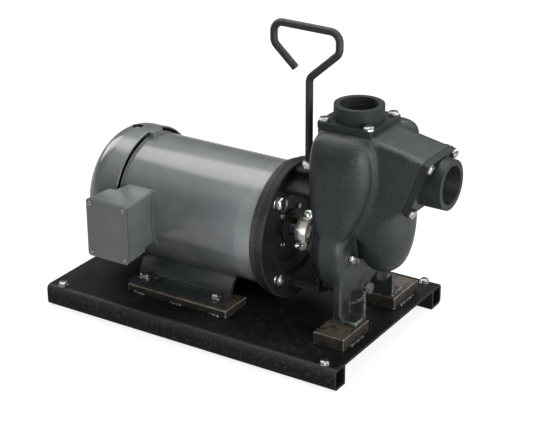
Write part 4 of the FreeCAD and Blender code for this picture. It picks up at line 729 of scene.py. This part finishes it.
plainDress = {  # name of the new piece and width of its softened edges in mm
    "skid_base": ("skidBase", 0.7), "motor_feet": ("motorFeet", 0.9), "motor_shell": ("motorShell", 0.35),
    "drive_end_bell": ("driveEndBell", 0.6), "fan_end_bell": ("fanEndBell", 0.8),
    "fan_cover": ("fanCover", 0.55), "conduit_box": ("conduitBox", 0.8),
    "conduit_box_gasket": ("conduitGasket", 0.2),
    "conduit_box_cover": ("conduitCover", 0.6), "lifting_handle": ("liftingHandle", 0.8),
    "pump_shaft": ("pumpShaft", 0.4), "motor_shaft": ("motorShaft", 0.5), "shaft_key": ("shaftKey", 0.3),
    "shaft_clamp_halves": ("shaftClamp", 1.0), "back_plate": ("backPlate", 0.6),
    "discharge_flange": ("dischargeFlange", 1.3), "suction_flange": ("suctionFlange", 1.3),
    "discharge_gasket": ("dischargeGasket", 0.2), "suction_gasket": ("suctionGasket", 0.2),
    "shaft_slinger": ("shaftSlinger", 0.4), "cooling_fan": ("coolingFan", 0.4),
}
castDress = {  # name, fineness of the skin in mm, rounds of smoothing
    "pump_casing": ("pumpCasing", 2.3, 5), "adapter_bracket": ("adapterBracket", 1.9, 3),
    "motor_foot_bars": ("motorFootBars", 1.6, 2), "pump_foot_blocks": ("pumpFootBlocks", 1.6, 2),
}
ownFinish = {"motor_feet": "foot", "motor_shell": "shell", "drive_end_bell": "recessShade", "fan_cover": "cover",
             "adapter_bracket": "bracket", "lifting_handle": "rodPaint", "discharge_flange": "port",
             "suction_flange": "port", "discharge_gasket": "gasket", "suction_gasket": "gasket",
             "conduit_box_gasket": "gasket"}
for nodeName, (pieceName, width) in plainDress.items():
    dressed(nodeName, pieceName, width, ownFinish.get(nodeName))
for nodeName, (pieceName, voxel, rounds) in castDress.items():
    castCopy(nodeName, pieceName, voxel, rounds, ownFinish.get(nodeName),
             shapeCasing if nodeName == "pump_casing" else None)
print("solids dressed:", len(plainDress) + len(castDress))


# Bolts, screws, nuts and plugs: sizes in mm, a head or nut as its width across flats and its height

@contextlib.contextmanager
def heads(name, nodeName, finish="zinc", crease=32):
    bm = bmesh.new()
    yield bm
    finished(bm, name, finish, bodyOf(nodeName), (nodeName,), crease)


cornerScrew = {"seat": (250.0, 162.4, 36.0), "d": 8.0, "length": 24.0, "washer": (8.4, 1.5), "sheet": 4.5,
               "nut": (12.4, 6.4)}


def cornerScrews(look=cornerScrew):
    x, y, z = look["seat"]
    with heads("cornerScrews", "corner_screws") as bm:
        for k, (sx, sy) in enumerate(fourCorners):
            seat = Vector((sx * x, sy * y, z)) * mm
            hexBolt(bm, placed(seat, up, 13 + 23 * k), look["d"], look["length"], (look["washer"],))
            under = placed(seat - up * look["sheet"] * mm, -up, 9 + 31 * k)
            hexHead(bm, under, *look["nut"], bothEnds=True)


footBolt = {"firstX": -88.9, "along": 139.7, "across": 190.5, "z": -108.7, "d": 9.5, "length": 16.8,
            "washer": (9.975, 2.0)}


def footBolts(look=footBolt):
    with heads("motorFootBolts", "motor_foot_bolts") as bm:
        for k, (row, side) in enumerate(((0, -1), (0, 1), (1, -1), (1, 1)), 1):
            seat = at(look["firstX"] - row * look["along"], side * look["across"] / 2, look["z"])
            hexBolt(bm, placed(seat, up, 11 * k), look["d"], look["length"], (look["washer"],))


faceBolt = {"x": 7.6, "circle": 184.15, "d": 12.7, "length": 18.6, "flat": (12.0, 2.2), "lock": (9.8, 3.4)}
capScrew = {"x": -9.0, "circle": 71.0, "head": (8.0, 3.6), "shank": (2.4, 0.4, -20)}
plateBolt = {"x": 60.0, "circle": 101.0, "count": 8, "d": 7.9, "length": 14.0}
casingBolt = {"x": 60.0, "radius": 73.0, "places": (72, 108, 252, 288), "d": 9.5, "length": 22.0}


def faceBolts(look=faceBolt):
    with heads("adapterBolts", "adapter_bolts") as bm:
        for k in range(4):
            seat = around(look["x"], look["circle"] / 2, 45 + 90 * k)
            hexBolt(bm, placed(seat, towardsPump, 17 * k), look["d"], look["length"],
                    (look["flat"], look["lock"]), look["lock"][0])


def capScrews(look=capScrew):
    with heads("bearingCapScrews", "bearing_cap_screws") as bm:
        for k in range(4):
            seat = around(look["x"], look["circle"] / 2, 45 + 90 * k)
            hexHead(bm, placed(seat, towardsPump, 19 * k), *look["head"])
            shank(bm, placed(seat, towardsPump), *look["shank"])


def plateBolts(look=plateBolt):
    with heads("backPlateBolts", "back_plate_bolts") as bm:
        for k in range(look["count"]):
            seat = around(look["x"], look["circle"] / 2, 360 / look["count"] * k)
            hexBolt(bm, placed(seat, towardsMotor, 23 * k), look["d"], look["length"])


def casingBolts(look=casingBolt):
    with heads("casingBolts", "casing_bolts") as bm:
        for k, degrees in enumerate(look["places"]):
            seat = around(look["x"], look["radius"], degrees)
            hexBolt(bm, placed(seat, towardsMotor, 29 * k), look["d"], look["length"])


portBolt = {"half": 38.0, "outlet": (113, 206), "inlet": (238.7, 127.2), "inletHalf": 40,
            "d": 9.5, "length": 20.5}


def portBolts(look=portBolt):
    half = look["half"]
    x, z = look["outlet"]
    with heads("dischargeBolts", "discharge_bolts") as bm:
        for k, (sx, sy) in enumerate(fourCorners):
            seat = at(x + sx * half, sy * half, z)
            hexBolt(bm, placed(seat, up, 10 + 19 * k), look["d"], look["length"])
    x, z = look["inlet"]
    across = Vector((math.sin(suctionTilt), 0, math.cos(suctionTilt)))
    with heads("suctionBolts", "suction_bolts") as bm:
        for k, (su, sy) in enumerate(fourCorners):
            seat = at(x, sy * half, z) + across * su * look["inletHalf"] * mm
            hexBolt(bm, placed(seat, suctionWay, 12 + 25 * k), look["d"], look["length"])


clampBolt = {"x": 25, "lean": -20, "apart": 23.8, "half": 14, "head": (12.0, 5.2), "shank": (3.9, 0.4, -30),
             "nut": (13.0, 6.5), "thread": (4.0, 1.25, 4.0, 10)}  # radius, pitch, start, turns


def clampBolts(look=clampBolt):
    lean = Matrix.Rotation(math.radians(look["lean"]), 4, "X")
    with heads("shaftClampBolts", "shaft_clamp_bolts") as bm:
        for sign, turn in ((-1, 41), (1, 14)):
            way = lean @ Vector((0, -sign, 0))
            middle = at(look["x"], 0, 0) + (lean @ Vector((0, 0, sign * look["apart"]))) * mm
            head = placed(middle + way * look["half"] * mm, way, turn)
            hexHead(bm, head, *look["head"])
            shank(bm, head, *look["shank"])
            tail = placed(middle - way * look["half"] * mm, -way, 7)
            hexHead(bm, tail, *look["nut"], bothEnds=True)
            threadedRod(bm, tail, *look["thread"])


def panHead(bm, place, radius, height, socket=0.42):
    rim = radius * socket
    before = set(bm.verts)
    profile = ((0, height * 0.28), (rim * 0.6, height * 0.3), (rim, height), (radius * 0.62, height * 0.96),
               (radius * 0.88, height * 0.7), (radius, height * 0.3), (radius, 0), (0, 0))
    turnedShape(bm, Matrix.Identity(4), profile, 32)
    fresh = [v for v in bm.verts if v not in before]
    for vert in fresh:  # the round socket drawn into a cross
        out = vert.co.xy.length
        if 0.1 < out < rim * 1.05 and vert.co.z > height * 0.2:
            cross = max(0.0, math.cos(4 * math.atan2(vert.co.y, vert.co.x))) ** 2
            vert.co.x *= 0.45 + 0.85 * cross
            vert.co.y *= 0.45 + 0.85 * cross
    bmesh.ops.transform(bm, matrix=place, verts=fresh)


boxScrew = {"middle": (-235.75, -181.2, 4.2), "half": (32.0, 41.75), "radius": 4.0, "height": 2.6}
fanScrew = {"x": -305, "radius": 105.1, "places": (0, 120, 240), "head": (8.0, 3.0)}


def boxScrews(look=boxScrew):
    x, y, z = look["middle"]
    halfX, halfZ = look["half"]
    with heads("conduitCoverScrews", "conduit_cover_screws") as bm:
        for k, (sx, sz) in enumerate(fourCorners, 1):
            seat = at(x + sx * halfX, y, z + sz * halfZ)
            panHead(bm, placed(seat, Vector((0, -1, 0)), 20 * k), look["radius"], look["height"])


def fanScrews(look=fanScrew):
    with heads("fanCoverScrews", "fan_cover_screws") as bm:
        for degrees in look["places"]:
            way = fromTop(degrees)
            seat = at(look["x"], 0, 0) + way * look["radius"] * mm
            hexHead(bm, placed(seat, way, degrees / 5), *look["head"])


sheetEdges = {"lipX": -276.3, "lipR": 109.2, "roll": 1.5,
              "screwX": -22.0, "screwR": 103.0, "screwTurn": -25.0, "screwHead": (3.4, 3.2)}


def sheetTrim(look=sheetEdges):  # the fan cover's rolled lip and a small screw on top of the shell
    ring = []
    for degrees in range(0, 360, 36):
        turn = math.radians(degrees)
        ring.append((look["lipR"] + look["roll"] * math.cos(turn), look["roll"] * math.sin(turn)))
    bm = bmesh.new()
    turnedShape(bm, placed(at(look["lipX"], 0, 0), towardsPump), ring, 160, True)
    finished(bm, "coverLip", "motor", bodyOf("fan_cover"), (), 60)
    way = fromTop(look["screwTurn"])
    bm = bmesh.new()
    panHead(bm, placed(at(look["screwX"], 0, 0) + way * look["screwR"] * mm, way, 12), *look["screwHead"])
    finished(bm, "shellScrew", "plug", bodyOf("motor_shell"))


rodNut = {"seat": (25.5, 0, 106), "nut": (19.05, 12.3)}
primePlug = {"seat": (133, -52, -2), "head": (13.0, 5.4, 1.4),  # the head's third value lifts it off the seat
             "collar": ((0, -6), (6.3, -6), (6.3, 0.6), (8.0, 0.6), (8.0, 2.0), (0, 2.0)),
             "boss": ((0, 6), (4.9, 6), (4.6, 9.0), (0, 9.0)),
             "square": ((0, 8), (5.4, 8), (5.2, 15.4), (4.2, 16.6), (0, 16.6))}
drainPlug = {"seat": (132, 0, -73), "head": (16.9, 6.6, 2.2),
             "collar": ((0, -6), (6.4, -6), (6.4, 0.5), (8.1, 0.5), (8.1, 2.4), (0, 2.4))}


def plugs(rod=rodNut, prime=primePlug, drain=drainPlug):
    with heads("handleNut", "handle_nut") as bm:
        hexHead(bm, placed(at(*rod["seat"]), up, 8), *rod["nut"], bothEnds=True)
    with heads("primePlug", "prime_plug") as bm:
        place = placed(at(*prime["seat"]), towardsPump, 5)
        turnedShape(bm, place, prime["collar"], 32)
        hexHead(bm, place, *prime["head"])
        turnedShape(bm, place, prime["boss"], 24)
        turnedShape(bm, placed(at(*prime["seat"]), towardsPump, 30), prime["square"], 4)
    with heads("drainPlug", "drain_plug", "plug") as bm:
        place = placed(at(*drain["seat"]), towardsPump, 11)
        turnedShape(bm, place, drain["collar"], 32)
        hexHead(bm, place, *drain["head"])


barWeld = {"x": (-246.0, -54.0), "y": 122.2, "z": -125.6, "radius": 3.4,
           "shares": (0.06, 0.44, 0.82), "run": 0.12}  # where each bead starts and its length along the bar
blockWeld = {"x": (103.8, 159.2), "y": (-117, 47), "run": (16, 60), "radius": 3.5}
footWeld = {"x": (-245, -72), "y": 63.6, "z": -78.6, "radius": 2.2}
gussetWeld = {"middle": (116.0, -45.5, -43.0), "reach": 41.0, "radius": 2.4, "overlap": 1.2,
              "turns": (-104, -92, -80, -68, -56, -44, -33, -22)}


def skidWelds(bar=barWeld, block=blockWeld):
    x0, x1 = bar["x"]
    low = bar["z"]
    with heads("weldBeads", "weld_beads", "weld", 60) as bm:
        for k, share in enumerate(bar["shares"]):
            a = x0 + share * (x1 - x0)
            b = a + bar["run"] * (x1 - x0)
            for side in (-1, 1):
                y = side * bar["y"]
                lumpyBead(bm, at(a, y, low), at(b, y, low), bar["radius"], k + side * 0.4)
        start, end = block["run"]
        for near in block["y"]:
            for x in block["x"]:
                lumpyBead(bm, at(x, near + start, low), at(x, near + end, low), block["radius"],
                          x * 0.01 + near)


def sheetWelds(foot=footWeld, gusset=gussetWeld):
    x0, x1 = foot["x"]
    bm = bmesh.new()
    for side in (-1, 1):
        y = side * foot["y"]
        lumpyBead(bm, at(x0, y, foot["z"]), at(x1, y, foot["z"]), foot["radius"], side)
    finished(bm, "footWelds", "foot", bodyOf("motor_feet"), (), 60)
    x, y, z = gusset["middle"]
    spots = []
    for degrees in gusset["turns"]:
        turn = math.radians(degrees)
        spots.append(at(x + gusset["reach"] * math.cos(turn), y, z + gusset["reach"] * math.sin(turn)))
    bm = bmesh.new()
    for k, (start, end) in enumerate(zip(spots, spots[1:])):
        past = (end - start).normalized() * gusset["overlap"] * mm
        lumpyBead(bm, start - past, end + past, gusset["radius"], k)
    # the bead in pale paint, as a painted highlight
    finished(bm, "gussetBead", "wornAndHighlit", bodyOf("pump_casing"), (), 60)


cornerScrews()
footBolts()
faceBolts()
capScrews()
plateBolts()
casingBolts()
portBolts()
clampBolts()
boxScrews()
fanScrews()
sheetTrim()
plugs()
skidWelds()
sheetWelds()
print("fasteners, plugs and welds made")


# Camera, floor and light

cameraPlace = {"azimuth": 32.54, "elevation": 23.82, "roll": -0.30, "sideways": -45.01, "raised": 19.90,
               "distance": 2533.76, "lens": 107.6}


def makeCamera(look=cameraPlace):
    a = math.radians(look["azimuth"])
    e = math.radians(look["elevation"])
    r = math.radians(look["roll"])
    back = Vector((math.sin(a) * math.cos(e), -math.cos(a) * math.cos(e), math.sin(e)))
    level = Vector((math.cos(a), math.sin(a), 0))
    rise = back.cross(level)
    right = level * math.cos(r) + rise * math.sin(r)
    top = rise * math.cos(r) - level * math.sin(r)
    data = bpy.data.cameras.new("photoCamera")
    data.lens = look["lens"]
    data.sensor_width = 36
    data.clip_end = 100
    camera = bpy.data.objects.new("photoCamera", data)
    scene.collection.objects.link(camera)
    offset = back * look["distance"] + right * look["sideways"] + top * look["raised"]
    place = shaftOrigin * mm + offset * mm
    turn = Matrix((right, top, back)).transposed().to_4x4()
    camera.matrix_world = Matrix.Translation(place) @ turn
    scene.camera = camera


studio = {"fill": (0.10, 0.46), "fillRise": (-0.15, 0.75),
          "horizon": 0.12, "zenith": 1.1, "skyRise": (0.28, 0.9),
          "floorTone": 0.30, "floorGlow": 0.80, "floorGloss": 0.30, "floorZ": -0.0004,
          "lightPool": (1.45, -0.10), "poolReach": (0.40, 1.00), "poolGloss": 2.2}


def makeWorld(look=studio):
    world = bpy.data.worlds.new("paleStudio")
    scene.world = world
    world.use_nodes = True
    wiring = Wiring(world.node_tree)
    height = wiring.part(wiring.node("TexCoord", output="Generated"), "Z")
    fill = height.step(*look["fillRise"], *look["fill"])
    sky = height.step(*look["skyRise"], look["horizon"], look["zenith"])  # paler overhead, as in a studio
    mirrored = wiring.ray("Glossy").maths("MAXIMUM", wiring.ray("Transmission"))
    level = wiring.blend(wiring.ray("Camera"), wiring.blend(mirrored, fill, sky), 1.0)
    background = world.node_tree.nodes["Background"]
    background.inputs["Color"].default_value = (1, 1, 1, 1)
    wiring.plug(level, background.inputs["Strength"])


def makeFloor(look=studio):
    bm = bmesh.new()
    bmesh.ops.create_grid(bm, x_segments=1, y_segments=1, size=30)
    mesh = bpy.data.meshes.new("studioFloor")
    bm.to_mesh(mesh)
    bm.free()
    floor = bpy.data.objects.new("studioFloor", mesh)
    floor.location.z = look["floorZ"]
    scene.collection.objects.link(floor)
    material = bpy.data.materials.new("paleFloor")
    material.use_nodes = True
    tree = material.node_tree
    tree.nodes.remove(tree.nodes["Principled BSDF"])
    wiring = Wiring(tree)
    spot = wiring.node("TexCoord", output="Object")
    away = wiring.node("VectorMath", {"operation": "DISTANCE"}, {0: spot, 1: (*look["lightPool"], 0)}, "Value")
    lightPool = away.step(*look["poolReach"], look["poolGloss"], look["floorGloss"])  # a glowing pool of light painted on the floor, seen only in reflections
    strength = wiring.ray("Camera") * look["floorGlow"] + wiring.ray("Glossy") * lightPool
    diffuse = wiring.node("BsdfDiffuse", {}, {"Color": (look["floorTone"],) * 3})
    glow = wiring.node("Emission", {}, {"Strength": strength})
    both = wiring.node("AddShader", {}, {0: diffuse, 1: glow})
    wiring.plug(both, tree.nodes["Material Output"].inputs["Surface"])
    mesh.materials.append(material)


lamps = {  # place, aim, size, strength in watts, how far the light fans out in degrees
    "overhead": ((-0.5, 0.7, 2.2), (0.0, 0.0, 0.15), (3.0, 1.2), 38, 180),
    "leftRim": ((-2.3, 0.6, 1.3), (0.0, 0.0, 0.2), (0.9, 1.6), 18, 180),
    "rightRim": ((2.1, 1.0, 1.7), (0.1, 0.0, 0.2), (0.7, 1.5), 18, 180),
    "rightPanel": ((2.0, -1.0, 0.70), (0.1, 0.0, 0.15), (0.9, 0.8), 30, 180),
    "windowFill": ((-0.15, -1.9, 0.55), (0.118, 0.0, 0.168), (0.10, 0.10), 0.05, 6),
    "frontFill": ((-0.5, -1.5, 2.5), (0.0, 0.0, 0.15), (2.2, 1.4), 3, 180),
}


def makeLamps():
    for name, (place, aim, size, watts, fan) in lamps.items():
        data = bpy.data.lights.new(name, "AREA")
        data.shape = "RECTANGLE"
        data.size, data.size_y = size
        data.energy = watts
        data.spread = math.radians(fan)
        lamp = bpy.data.objects.new(name, data)
        lamp.location = place
        lamp.rotation_euler = (Vector(aim) - Vector(place)).to_track_quat("-Z", "Y").to_euler()
        scene.collection.objects.link(lamp)


scene.view_settings.view_transform = "Standard"
makeWorld()
makeFloor()
makeLamps()
makeCamera()
print("camera and studio made")
